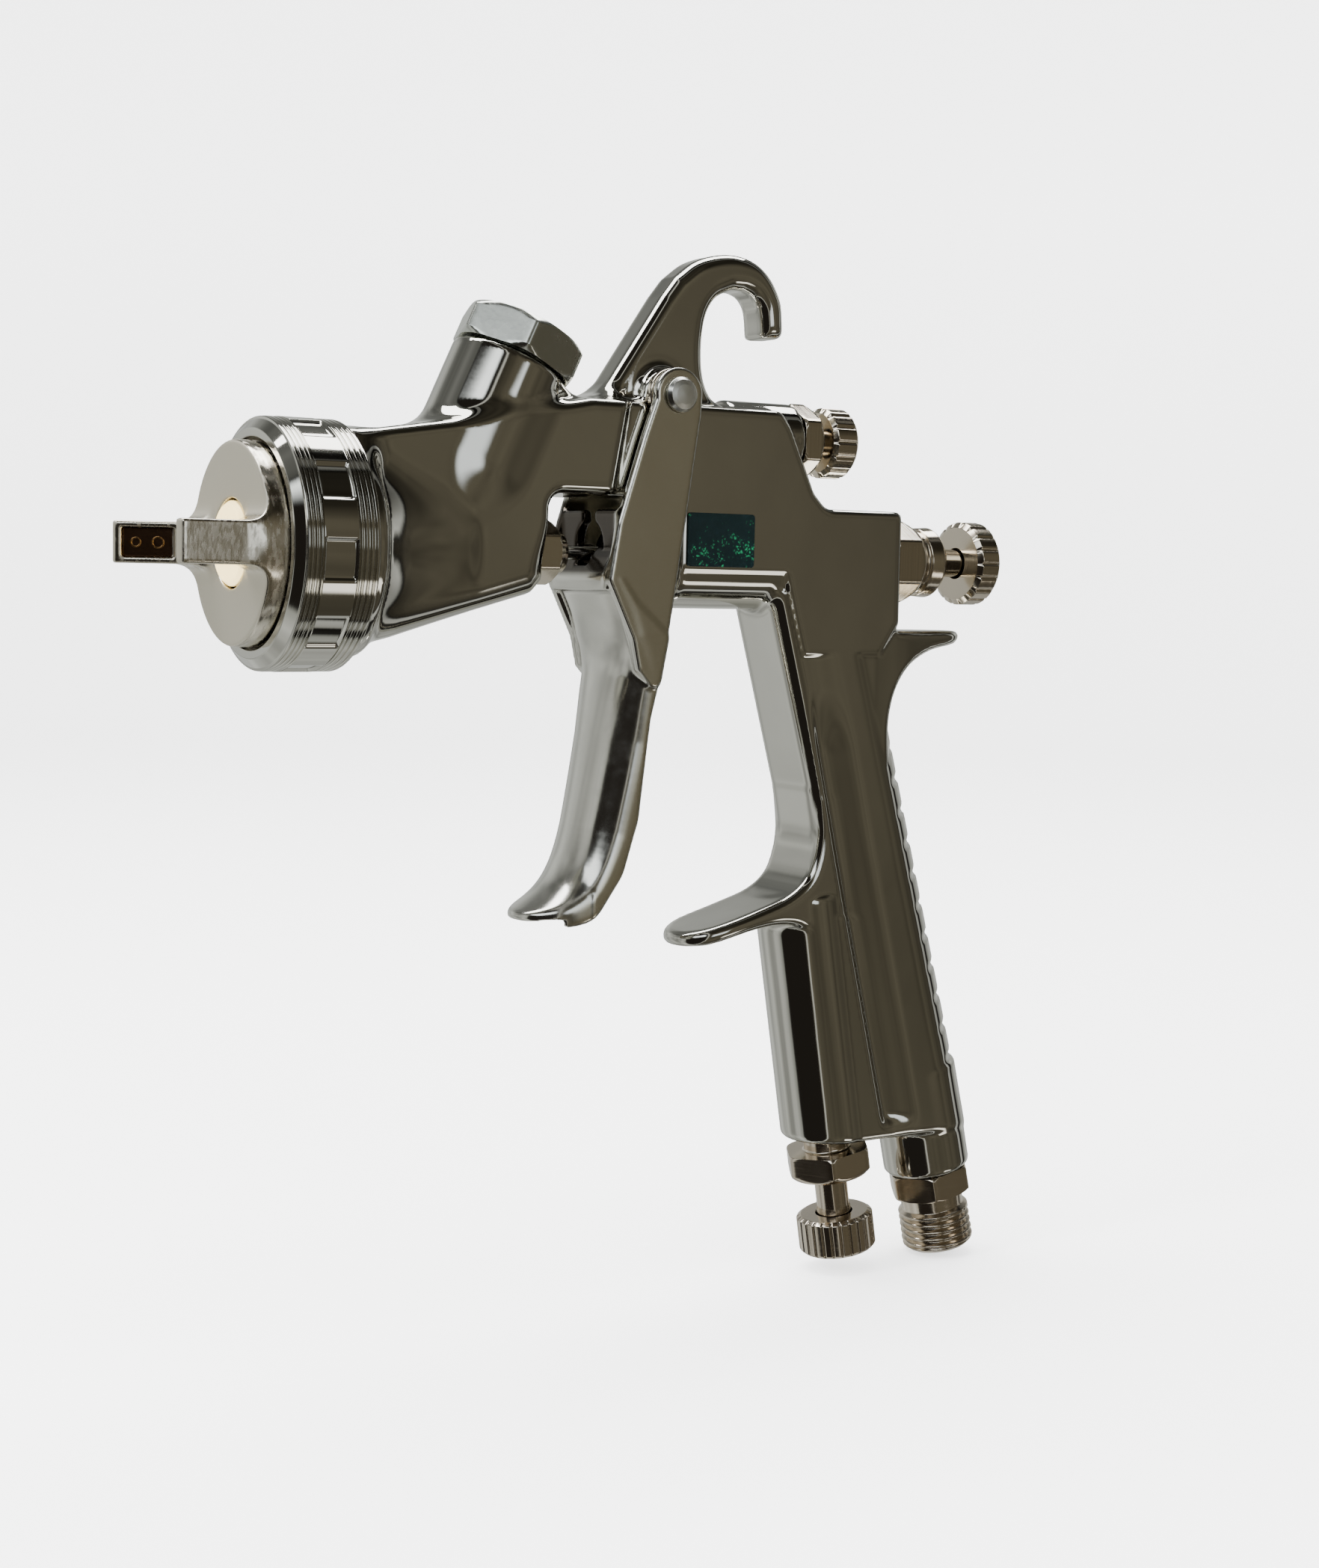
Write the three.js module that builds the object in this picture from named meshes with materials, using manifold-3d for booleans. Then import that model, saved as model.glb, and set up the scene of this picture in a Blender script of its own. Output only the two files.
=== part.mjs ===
// Gravity-feed spray gun, without its cup. Millimetres, +Z up, muzzle towards -X, +Y to the gun's right.
// Shapes are drawn in the gun's own axes: the needle runs along X through y = 0, z = 0, and x = 0 is
// the front face of the air cap. The finished group is moved so that its origin is the seat of the hook.

import * as THREE from 'three';
import { mergeVertices } from 'three/addons/utils/BufferGeometryUtils.js';
import Module from 'manifold-3d';

const wasm = await Module();
wasm.setup();

// ---- Driving dimensions ------------------------------------------------------------------------------
const GAP = 0.3;                    // between touching pieces

const BARREL_HALF = 9.4;            // half width of the front barrel and bridge
const BODY_HALF = 8.2;              // half width of the rear block and handle, inside the trigger arms
const HOOK_HALF = 4;
const CHAMFER = 1.0;
const SOFT_EDGE = 0.8;              // chamfer of the hook, and wall left around the horn pockets
const FINE_EDGE = 0.4;              // chamfer of the thin tang and finger rest
const WIDE = 20;                    // half width of a cutting slab that passes right through

const HOOK_SEAT = { x: 89.5, z: 44.8 };
const WINDOW = { x0: 50.5, x1: 75.6, top: 9.4 };
const BLOCK_TOP = 24.8;
const BLOCK_END = 122;
const SHELF_TOP = 8.6;
const HANDLE_END = -103.6;
const HANDLE_TILT = 15.5;           // degrees from vertical
const HANDLE_FRONT = { x: 97, z: -12 };
const HANDLE_DEPTH = 21.2;
const VALVE_TUBE_R = 8.2;

const PIVOT = { x: 73.5, z: 26 };
const BOSS_HALF = 6.8;
const ARM = { inner: 8.9, outer: 10.6, endR: 4.5 };
const PUSHER_X = 64.1;

const RING = { x0: 3, x1: 16.4, r: 19.5, bore: 17.9 };
const CAP = { r: 15.8, flangeR: 17.5, hornTip: -13.6, hornHalf: 3.2 };

const INLET = { x: 33.6, tilt: 25, tubeR: 9.7, tubeEnd: 33.0, nutR: 11, nutH: 6, bore: 6.2 };
const PATTERN = { z: 20.3, bossR: 6.3, bossEnd: 102, hexR: 6.6, knobX: 108.5, knobR: 6.1, knobL: 5.1 };
const FLUID = { hexR: 7.4, knobX: 140.3, knobR: 7.5, knobL: 5 };
const AIR = { x: 116.8, z: -117.7, tilt: 9.4, hexR: 8.2, stemR: 3.1, knobR: 6.95, knobL: 6.8 };
const NIPPLE = { x: 137.9, z: -111.5, tilt: 12.5, bossR: 8.2, hexR: 7.9 };
const THREAD = { r: 6.58, length: 15.3, bore: 4.2 };
const NEEDLE_R = 1.2;
const STEM_R = { fluid: 2.5, pattern: 2.2, valve: 2.6 };
const STEM_DEPTH = 1.9;             // from a knob's end face to the end of the stem inside it
const KNOB_EDGE = 0.7;
const KNOB_CAP = 1.5;               // solid end of a knob beyond its bore
const FLUTE_DEPTH = 0.45;

const COARSE = 20;
const ROUND = 32;

// ---- Materials ---------------------------------------------------------------------------------------
function finish(color, roughness, metalness) {
  return new THREE.MeshStandardMaterial({ color, roughness, metalness });
}

const plated = finish(0x8f8c82, 0.08, 1);
const nickel = finish(0xb3a894, 0.25, 1);
const satinNickel = finish(0xa3a598, 0.3, 1);
const capMetal = finish(0xcdc8be, 0.35, 1);
const stainless = finish(0xb8b8b8, 0.2, 1);
const springSteel = finish(0x9a9a9a, 0.3, 1);
const brass = finish(0xb08d4a, 0.35, 1);
const cream = finish(0xebdcaa, 0.5, 0);
const sealWhite = finish(0xe6e4dc, 0.6, 0);
const foil = finish(0x12383a, 0.3, 0.4);

// ---- Solids ------------------------------------------------------------------------------------------
function solid(geometry) {
  const bare = geometry.clone();
  bare.deleteAttribute('normal');
  bare.deleteAttribute('uv');
  const merged = mergeVertices(bare, 1e-4);
  const vertProperties = new Float32Array(merged.attributes.position.array);
  const triVerts = new Uint32Array(merged.index.array);
  const made = new wasm.Manifold(new wasm.Mesh({ numProp: 3, vertProperties, triVerts }));
  if (made.volume() > 0) return made;
  for (let i = 0; i < triVerts.length; i += 3) {
    [triVerts[i], triVerts[i + 1]] = [triVerts[i + 1], triVerts[i]];
  }
  return new wasm.Manifold(new wasm.Mesh({ numProp: 3, vertProperties, triVerts }));
}

const join = (...parts) => parts.reduce((a, b) => a.add(b));
const cut = (from, ...parts) => parts.reduce((a, b) => a.subtract(b), from);

const group = new THREE.Group();
group.position.set(-HOOK_SEAT.x, 0, -HOOK_SEAT.z);

function piece(name, manifold, material) {
  const { vertProperties, triVerts, numProp } = manifold.getMesh();
  const positions = new Float32Array((vertProperties.length / numProp) * 3);
  for (let i = 0; i < positions.length / 3; i++) {
    positions.set(vertProperties.subarray(i * numProp, i * numProp + 3), i * 3);
  }
  const geometry = new THREE.BufferGeometry();
  geometry.setAttribute('position', new THREE.BufferAttribute(positions, 3));
  geometry.setIndex(new THREE.BufferAttribute(new Uint32Array(triVerts), 1));
  geometry.computeVertexNormals();
  const mesh = new THREE.Mesh(geometry, material);
  mesh.name = name;
  group.add(mesh);
}

const degrees = (angle) => (angle * Math.PI) / 180;
const points = (list) => list.map(([x, y]) => new THREE.Vector2(x, y));

// An outline in the X-Z plane, made into a slab between y = from and y = to, with its edges chamfered.
function slab(outline, from, to, chamfer = 0) {
  const shape = outline instanceof THREE.Shape ? outline : new THREE.Shape(points(outline));
  const bevel = { bevelThickness: chamfer, bevelSize: chamfer, bevelOffset: -chamfer, bevelSegments: 1 };
  const options = { depth: to - from - 2 * chamfer, bevelEnabled: chamfer > 0, curveSegments: 2, ...bevel };
  const geometry = new THREE.ExtrudeGeometry(shape, options);
  geometry.rotateX(Math.PI / 2);
  geometry.translate(0, to - chamfer, 0);
  return solid(geometry);
}

// An outline in the X-Y plane, made into a column between z = from and z = to.
function column(outline, from, to) {
  const shape = outline instanceof THREE.Shape ? outline : new THREE.Shape(points(outline));
  const options = { depth: to - from, bevelEnabled: false, curveSegments: 3 };
  const geometry = new THREE.ExtrudeGeometry(shape, options);
  geometry.translate(0, 0, from);
  return solid(geometry);
}

// A profile of [x, radius] points turned about the X axis.
function turnedGeometry(profile, segments) {
  const closed = profile[0][1] === 0 ? profile : [...profile, profile[0]];
  const geometry = new THREE.LatheGeometry(points(closed.map(([x, r]) => [r, x])), segments);
  geometry.rotateZ(-Math.PI / 2);
  return geometry;
}

const turned = (profile, segments = COARSE) => solid(turnedGeometry(profile, segments));
const rod = (x0, x1, r, segments = COARSE) => turned([[x0, 0], [x0, r], [x1, r], [x1, 0]], segments);
const tube = (x0, x1, r, bore, segments = COARSE) => (
  turned([[x0, bore], [x0, r], [x1, r], [x1, bore]], segments)
);
const hexagon = (x0, x1, r) => rod(x0, x1, r, 6);

// Turns a solid drawn along +X so that it points along +Z leaned by tilt degrees towards +X, at (x, z).
function leaned(manifold, tilt, x, z) {
  return manifold.rotate([0, tilt - 90, 0]).translate([x, 0, z]);
}

// Turns a solid drawn along +X so that it points down and back, tilt degrees from -Z towards +X, at (x, z).
function hung(manifold, tilt, x, z) {
  return manifold.rotate([0, 90 - tilt, 0]).translate([x, 0, z]);
}

// A knob of fluted outline along X.
function flutedKnob(x0, length, radius, flutes, bore) {
  const shape = new THREE.Shape();
  for (let i = 0; i < flutes * 4; i++) {
    const angle = (i * 2 * Math.PI) / (flutes * 4);
    const r = i % 4 < 2 ? radius : radius - FLUTE_DEPTH;
    const [u, v] = [r * Math.cos(angle), r * Math.sin(angle)];
    if (i === 0) shape.moveTo(u, v);
    else shape.lineTo(u, v);
  }
  const geometry = new THREE.ExtrudeGeometry(shape, { depth: length, bevelEnabled: false });
  geometry.rotateY(Math.PI / 2);
  geometry.translate(x0, 0, 0);
  const x1 = x0 + length;
  const rounded = turned([[x0, 0], [x0, radius - KNOB_EDGE], [x0 + KNOB_EDGE, radius],
    [x1 - KNOB_EDGE, radius], [x1, radius - KNOB_EDGE], [x1, 0]]);
  return cut(solid(geometry).intersect(rounded), rod(x0 - 1, x1 - KNOB_CAP, bore));
}

// A coil spring along X with closed round wire.
class Helix extends THREE.Curve {
  constructor(x0, x1, radius, turns) {
    super();
    Object.assign(this, { x0, x1, radius, turns });
  }

  getPoint(t, target = new THREE.Vector3()) {
    const angle = t * this.turns * 2 * Math.PI;
    const x = this.x0 + t * (this.x1 - this.x0);
    return target.set(x, this.radius * Math.cos(angle), this.radius * Math.sin(angle));
  }
}

function spring(x0, x1, radius, wire, turns) {
  const section = new THREE.Shape();
  section.absarc(0, 0, wire, 0, 2 * Math.PI, false);
  const extrudePath = new Helix(x0 + wire, x1 - wire, radius, turns);
  return solid(new THREE.ExtrudeGeometry(section, { steps: turns * 8, curveSegments: 3, extrudePath }));
}

// ---- Casting -----------------------------------------------------------------------------------------
function hook() {
  const shape = new THREE.Shape();
  shape.moveTo(59.8, 22);
  shape.lineTo(74.6, 42.8);
  shape.splineThru(points([[77.2, 46.1], [81, 48.9], [85, 50.3], [89, 50.7], [93, 49.8], [96.2, 47.4],
    [98.4, 43.6]]));
  shape.lineTo(98.9, 39.2);
  shape.lineTo(97.8, 37.3);
  shape.lineTo(94.6, 37.2);
  shape.lineTo(94.2, 41.6);
  shape.splineThru(points([[93, 43.7], [HOOK_SEAT.x + 1.3, HOOK_SEAT.z]]));
  shape.lineTo(HOOK_SEAT.x - 1.3, HOOK_SEAT.z);
  shape.splineThru(points([[85.2, 43.2], [83.2, 40], [82.5, 35], [82.9, 30], [84.6, 26.6], [88, 24]]));
  shape.lineTo(88, 22);
  return slab(shape, -HOOK_HALF, HOOK_HALF, SOFT_EDGE);
}

// The front barrel and the bridge over the trigger window.
function barrel() {
  const outline = [[17, -14.8], [24, -13.6], [49, -6.6], [WINDOW.x0, -5], [WINDOW.x0, WINDOW.top],
    [62.4, WINDOW.top], [65.2, BLOCK_TOP], [58, BLOCK_TOP], [33, 20], [17, 17.4]];
  return slab(outline, -BARREL_HALF, BARREL_HALF, CHAMFER);
}

function rearBlock() {
  const outline = [[60, WINDOW.top], [WINDOW.x1, WINDOW.top], [WINDOW.x1, -3], [97, -3], [99, -13.5],
    [BLOCK_END, -13.5], [BLOCK_END, SHELF_TOP], [106, SHELF_TOP], [103.6, 10.4], [98, 21.8],
    [95.8, BLOCK_TOP], [62, BLOCK_TOP]];
  return slab(outline, -BODY_HALF, BODY_HALF, CHAMFER);
}

// The web between the fluid inlet tube and the foot of the hook.
function hookWeb() {
  const half = 7.2;
  return slab([[44, 18], [46, 24], [49.6, 27.8], [58, 24.3], [64, 26], [64, 18]], -half, half, CHAMFER);
}

function roundHousings() {
  const nose = turned([[8.5, 0], [8.5, CAP.flangeR], [16.7, CAP.flangeR], [18.4, CAP.flangeR], [24, 13.2],
    [28, 11], [28, 0]], ROUND);
  const sides = slab([[70, -12], [120, -12], [120, 12], [70, 12]], -BODY_HALF, BODY_HALF);
  const valveHousing = rod(WINDOW.x1, 118, 8.8, ROUND).intersect(sides);
  const patternBoss = rod(90, PATTERN.bossEnd, PATTERN.bossR).translate([0, 0, PATTERN.z]);
  return join(nose, valveHousing, patternBoss);
}

function grip() {
  const section = new THREE.Shape();
  const back = HANDLE_DEPTH - BODY_HALF;
  const corner = 1.4;
  section.moveTo(0, -BODY_HALF + corner);
  section.lineTo(corner, -BODY_HALF);
  section.lineTo(back, -BODY_HALF);
  section.absarc(back, 0, BODY_HALF, -Math.PI / 2, Math.PI / 2, false);
  section.lineTo(corner, BODY_HALF);
  section.lineTo(0, BODY_HALF - corner);
  const upright = column(section, -130, 25).rotate([0, -HANDLE_TILT, 0]);
  const bar = upright.translate([HANDLE_FRONT.x, 0, HANDLE_FRONT.z]);
  const keep = slab([[80, 0], [160, 0], [160, HANDLE_END], [80, HANDLE_END]], -WIDE, WIDE);
  return bar.intersect(keep);
}

function tang() {
  const outline = new THREE.Shape();
  outline.moveTo(115, -12.2);
  outline.lineTo(138.6, -12.2);
  outline.lineTo(140, -13);
  outline.lineTo(139.4, -14.3);
  outline.splineThru(points([[131, -15.9], [125.4, -18.6], [122, -23], [120.6, -29], [121.4, -36]]));
  outline.lineTo(112, -36);
  const plan = new THREE.Shape();
  plan.moveTo(100, -BODY_HALF);
  plan.lineTo(118, -BODY_HALF);
  plan.splineThru(points([[124, -7.4], [131, -5.8], [137.4, -4], [140, 0], [137.4, 4], [131, 5.8],
    [124, 7.4], [118, BODY_HALF]]));
  plan.lineTo(100, BODY_HALF);
  return slab(outline, -BODY_HALF, BODY_HALF, FINE_EDGE).intersect(column(plan, -60, 0));
}

function fingerRest() {
  const outline = new THREE.Shape();
  outline.moveTo(112, -45);
  outline.lineTo(105.8, -46);
  outline.splineThru(points([[106.1, -50.5], [104.6, -55], [100.6, -58.4], [94, -60.6], [86, -62.9],
    [81.2, -64.2]]));
  outline.lineTo(80, -65.4);
  outline.lineTo(81.4, -66.6);
  outline.splineThru(points([[86, -65.6], [94, -63.6], [101, -63.4], [106, -66]]));
  outline.lineTo(114, -66);
  const plan = new THREE.Shape();
  plan.moveTo(120, -BODY_HALF);
  plan.lineTo(96, -BODY_HALF);
  plan.splineThru(points([[88, -8.4], [82.2, -5.4], [80, 0], [82.2, 5.4], [88, 8.4], [96, BODY_HALF]]));
  plan.lineTo(120, BODY_HALF);
  return slab(outline, -BODY_HALF, BODY_HALF, FINE_EDGE).intersect(column(plan, -80, -40));
}

// The bulge below the finger rest that houses the air adjusting valve, and the web that ties it to
// the grip.
function valveTube() {
  const bar = hung(rod(-56, 20, VALVE_TUBE_R, ROUND), AIR.tilt, AIR.x, AIR.z);
  const between = [[107.5, -62], [118, -62], [134, HANDLE_END], [114.6, HANDLE_END]];
  const web = slab(between, -VALVE_TUBE_R, VALVE_TUBE_R);
  const keep = slab([[80, -60], [160, -60], [160, HANDLE_END], [80, HANDLE_END]], -WIDE, WIDE);
  return join(bar, web).intersect(keep);
}

const nippleBoss = () => hung(rod(-20, 0, NIPPLE.bossR, 24), NIPPLE.tilt, NIPPLE.x, NIPPLE.z);

function inletTube() {
  return leaned(rod(0, INLET.tubeEnd, INLET.tubeR, 24), INLET.tilt, INLET.x, 0);
}

// Bores and passages, each one open to the outside.
function passages() {
  const needle = join(rod(8, 30, 4.9), rod(29, 46, 2), rod(43, 52, 3.6), rod(8, 11.3, 13.3, ROUND));
  const fluid = leaned(join(rod(0, 40, 4), rod(INLET.tubeEnd - 9, 40, 7.8)), INLET.tilt, INLET.x, 0);
  const valve = rod(WINDOW.x1 - 1, BLOCK_END + 1, 6.2);
  const pattern = join(rod(72, 104, 3.2), rod(93, 104, 5.2)).translate([0, 0, PATTERN.z]);
  const airValve = hung(rod(-46, 20, 4.4), AIR.tilt, AIR.x, AIR.z);
  const riser = hung(rod(-76, 4, 2.5), 6.6, 112.5, -78);
  const airInlet = hung(join(rod(-32, 2, 4), rod(-12, 2, 5.6)), NIPPLE.tilt, NIPPLE.x, NIPPLE.z);
  const crossing = slab([[108, -84], [132, -90], [132, -84], [108, -78]], -2.5, 2.5);
  return [needle, fluid, valve, pattern, airValve, riser, airInlet, crossing];
}

// The pivot's boss, its two spot faces for the washers, and its hole.
const atPivot = (manifold) => manifold.rotate([0, 0, 90]).translate([PIVOT.x, 0, PIVOT.z]);
const pivotBoss = () => atPivot(rod(-BOSS_HALF, BOSS_HALF, 4.2));

function pivotCuts() {
  const faces = [rod(-14, -BOSS_HALF, 5), rod(BOSS_HALF, 14, 5)];
  return [...faces, rod(-8, 8, 2.6)].map(atPivot);
}

function gunBody() {
  const lower = join(grip(), tang(), fingerRest(), valveTube(), nippleBoss());
  const upper = join(barrel(), rearBlock(), roundHousings(), hook(), hookWeb(), inletTube(), pivotBoss());
  return cut(join(upper, lower), ...passages(), ...pivotCuts());
}

piece('gun_body', gunBody(), plated);

// ---- Air cap and nozzle ------------------------------------------------------------------------------
function capHorn(side) {
  const mirror = ([x, y]) => [x, y * side];
  const tip = { x: CAP.hornTip + 0.2, y: 13.4 };
  const heel = { x: -4.6, y: 8.7 };
  const plan = [[3, 15.3], [CAP.hornTip + 0.6, 15.1], [CAP.hornTip, 14.4], [tip.x, tip.y],
    [heel.x, heel.y], [3, 7.6]];
  const horn = column(plan.map(mirror), -CAP.hornHalf, CAP.hornHalf);
  const drop = (tip.y - heel.y) / (tip.x - heel.x);
  const jets = [[-8.4, 0.9], [-11.2, 0.7]].map(([x, r]) => {
    const y = (heel.y + drop * (x - heel.x)) * side;
    return rod(-1, 2.4, r, 10).rotate([0, 0, 60 * side]).translate([x, y, 0]);
  });
  const hollow = [[-5.6, 9.1], [-12.2, 12.6], [-11.8, 13.4], [-5.2, 9.9]];
  const pocketHalf = CAP.hornHalf - SOFT_EDGE;
  return cut(horn, column(hollow.map(mirror), -pocketHalf, pocketHalf), ...jets);
}

function airCap() {
  const shell = turned([[0, 6.8], [0, CAP.r - 0.4], [0.4, CAP.r], [4.7, CAP.r], [4.7, CAP.flangeR],
    [6.2, CAP.flangeR], [6.2, 14.4], [2.4, 12], [2.4, 6.8]], ROUND);
  return join(shell, capHorn(1), capHorn(-1));
}

function fluidNozzle() {
  return turned([[-0.9, 0.8], [-0.9, 1.3], [1.4, 2.2], [6.2, 3], [6.2, 6], [8.8, 6], [8.8, 4.6], [22, 4.6],
    [22, 2.4], [4, 2.4]]);
}

function airDistributor() {
  const plate = tube(8.8, 11, 13, 6.4, ROUND);
  const holes = Array.from({ length: 8 }, (_, i) => (
    rod(8, 12, 1.1, 8).translate([0, 9.8, 0]).rotate([45 * i, 0, 0])
  ));
  return cut(plate, ...holes);
}

function capRing() {
  return turned([[RING.x0, 16.2], [RING.x0 + 0.5, 17.6], [RING.x0 + 1.6, 19], [RING.x0 + 2, RING.r],
    [RING.x1 - 1, RING.r], [RING.x1, 18.7], [RING.x1, RING.bore], [4.4, RING.bore], [4.4, 16.2]], 40);
}

piece('cap_ring', capRing(), plated);
const SNAP = { x: 7, radius: 17.15, wire: 0.4 };
piece('cap_snap_ring', turned(Array.from({ length: 8 }, (_, i) => (
  [SNAP.x + SNAP.wire * Math.cos(degrees(45 * i)), SNAP.radius + SNAP.wire * Math.sin(degrees(45 * i))]
))), springSteel);
piece('air_cap', airCap(), capMetal);
piece('cap_centre_ring', tube(-0.5, 2.1, 6.5, 2.6), cream);
piece('fluid_nozzle', fluidNozzle(), stainless);
piece('air_distributor', airDistributor(), brass);

// ---- Needle line -------------------------------------------------------------------------------------
const VALVE_THROW = 6.35;           // how far the trigger pushes the air valve stem
const NEEDLE_THROW = 4.5;           // and how far that draws the needle
const COLLAR_X = 106.1;

piece('fluid_needle', turned([[-0.6, 0], [3.4, NEEDLE_R], [119.5, NEEDLE_R], [119.5, 0]], 12), stainless);
piece('needle_packing', tube(44, 48, 3.2, 1.6), sealWhite);
piece('packing_nut', join(
  cut(hexagon(50.9, 55.2, 5.4), rod(50, 56, 1.7)),
  tube(48.4, 51.2, 3.2, 1.7),
  tube(55, 57.2, 3.4, 1.7),
), nickel);
const FLANGE_X = WINDOW.x1 - GAP;
piece('valve_seat', turned([[FLANGE_X - 1.2, 3], [FLANGE_X - 1.2, 7.4], [FLANGE_X, 7.4], [FLANGE_X, 5.9],
  [86.6, 5.9], [86.6, 3]]), brass);
const STEM_END = COLLAR_X - GAP - VALVE_THROW + NEEDLE_THROW;
piece('valve_stem', turned([[66.4, 1.6], [66.4, 4.2], [67.4, 4.2], [67.4, STEM_R.valve],
  [86.9, STEM_R.valve], [86.9, 5.5], [89.4, 5.5], [89.4, STEM_R.valve], [STEM_END, STEM_R.valve],
  [STEM_END, 1.6]]), stainless);
piece('valve_spring', spring(89.8, 103.5, 4.9, 0.45, 5), springSteel);
piece('needle_collar', tube(COLLAR_X, 112, 4, NEEDLE_R + GAP), brass);
piece('needle_spring', spring(112.4, 126.4, 3, 0.4, 6), springSteel);
piece('fluid_guide', join(
  tube(103.9, BLOCK_END + GAP + 1, 5.8, 4.6),
  cut(hexagon(BLOCK_END + GAP, 129, FLUID.hexR), rod(120, 130, 4.6)),
  turned([[128.8, 4.6], [128.8, 6.4], [133, 6.4], [134.4, 5.2], [134.4, 2.9], [131.5, 2.9], [131.5, 4.6]]),
), nickel);
const FLUID_STEM_END = FLUID.knobX + FLUID.knobL - STEM_DEPTH;
piece('fluid_stem', turned([[126.8, 0], [126.8, 4.1], [128.2, 4.1], [128.2, STEM_R.fluid],
  [FLUID_STEM_END, STEM_R.fluid], [FLUID_STEM_END, 0]]), nickel);
piece('fluid_knob', flutedKnob(FLUID.knobX, FLUID.knobL, FLUID.knobR, 16, STEM_R.fluid + GAP), nickel);

// ---- Pattern adjuster --------------------------------------------------------------------------------
const atPattern = (manifold) => manifold.translate([0, 0, PATTERN.z]);
const PATTERN_STEM_END = PATTERN.knobX + PATTERN.knobL - STEM_DEPTH;
const PATTERN_BORE = STEM_R.pattern + GAP;

piece('pattern_guide', atPattern(join(
  tube(94, 102.6, 4.9, 2.6),
  cut(hexagon(PATTERN.bossEnd + GAP, 106.2, PATTERN.hexR), rod(100, 108, 2.6)),
)), nickel);
piece('pattern_stem', atPattern(turned([[74, 0], [77, STEM_R.pattern], [PATTERN_STEM_END, STEM_R.pattern],
  [PATTERN_STEM_END, 0]])), nickel);
piece('pattern_knob', atPattern(
  flutedKnob(PATTERN.knobX, PATTERN.knobL, PATTERN.knobR, 14, PATTERN_BORE),
), nickel);

// ---- Air adjuster and air inlet ----------------------------------------------------------------------
const atAir = (manifold) => hung(manifold, AIR.tilt, AIR.x, AIR.z);
const atNipple = (manifold) => hung(manifold, NIPPLE.tilt, NIPPLE.x, NIPPLE.z);

piece('air_guide', atAir(join(
  tube(-24, -12, 4.1, 3.4),
  cut(hexagon(-12.2, -7.4, AIR.hexR), rod(-20, 0, 3.4)),
)), nickel);
piece('air_stem', atAir(turned([[-40, 0], [-37, AIR.stemR], [AIR.knobL - STEM_DEPTH, AIR.stemR],
  [AIR.knobL - STEM_DEPTH, 0]])), nickel);
piece('air_knob', atAir(flutedKnob(0, AIR.knobL, AIR.knobR, 20, AIR.stemR + GAP)), nickel);
piece('air_nipple', atNipple(cut(join(
  rod(-10, 0.6, 5.3),
  hexagon(GAP, 5, NIPPLE.hexR),
  rod(4.8, 8, 5.7),
  rod(7.8, THREAD.length, THREAD.r, 24),
), rod(-12, THREAD.length + 1, THREAD.bore))), nickel);

// ---- Fluid inlet -------------------------------------------------------------------------------------
const atInlet = (manifold) => leaned(manifold, INLET.tilt, INLET.x, 0);

function inletNut() {
  const [x0, x1] = [INLET.tubeEnd + GAP, INLET.tubeEnd + GAP + INLET.nutH];
  const turn = 13;
  const corners = turned([[x0, 0], [x0, INLET.nutR - CHAMFER], [x0 + CHAMFER, INLET.nutR],
    [x1 - CHAMFER, INLET.nutR], [x1, INLET.nutR - CHAMFER], [x1, 0]]);
  return hexagon(x0, x1, INLET.nutR).rotate([turn, 0, 0]).intersect(corners);
}

piece('fluid_inlet', atInlet(cut(
  join(rod(INLET.tubeEnd - 7.5, INLET.tubeEnd + 1, 7.4), inletNut()),
  rod(INLET.tubeEnd - 4, INLET.tubeEnd + 10, INLET.bore),
  rod(INLET.tubeEnd - 9, INLET.tubeEnd, 3.4),
)), satinNickel);

// ---- Trigger -----------------------------------------------------------------------------------------
function triggerArm(side) {
  const outline = new THREE.Shape();
  outline.absarc(PIVOT.x, PIVOT.z, ARM.endR, degrees(10), degrees(190), false);
  outline.lineTo(66.8, 19);
  outline.lineTo(62.3, 5);
  outline.lineTo(60.6, -4.6);
  outline.lineTo(65.4, -14);
  outline.lineTo(69, -21);
  outline.lineTo(71.2, -22);
  outline.lineTo(73.8, -4);
  outline.lineTo(77.8, 23);
  const plate = side < 0 ? slab(outline, -ARM.outer, -ARM.inner) : slab(outline, ARM.inner, ARM.outer);
  return cut(plate, atPivot(rod(-14, 14, 2.5)));
}

// The front of the trigger: a cross wall from arm to arm, bent back at the knee.
function triggerWall() {
  return slab([[60.4, -4.6], [65.2, -14.4], [67.4, -14.4], [62.6, -4.6]], -ARM.outer, ARM.outer);
}

// The cross plate that pushes the air valve's stem, slotted for the needle.
function triggerPusher() {
  const bar = rod(-ARM.outer, ARM.outer, 2, 16).rotate([0, 0, 90]).translate([PUSHER_X, 0, 0]);
  const plate = slab([[61.2, -6], [63.4, -6], [64.6, 0], [64.4, 7], [63, 7]], -ARM.outer, ARM.outer);
  const slot = column([[55, -1.8], [70, -1.8], [70, 1.8], [55, 1.8]], -2, 12);
  return cut(join(bar, plate), slot);
}

// The finger lever: a channel, rounded towards the muzzle.
function triggerLever() {
  const section = new THREE.Shape();
  section.moveTo(8, -10);
  section.splineThru(points([[4.4, -8.6], [1.4, -5], [0, 0], [1.4, 5], [4.4, 8.6], [8, 10]]));
  section.lineTo(9, 8.6);
  section.splineThru(points([[5.6, 7.2], [3.2, 4.2], [2, 0], [3.2, -4.2], [5.6, -7.2], [9, -8.6]]));
  const channel = column(section, -56, 4.4).rotate([0, 8.4, 0]).translate([64, 0, -17]);
  const side = [[56, -13.6], [72.2, -13.6], [69.8, -27], [68, -45], [66, -51.5], [63.2, -57.6],
    [60, -60.6], [56, -61.8], [50, -61.8], [50, -40]];
  return channel.intersect(slab(side, -12, 12));
}

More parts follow.
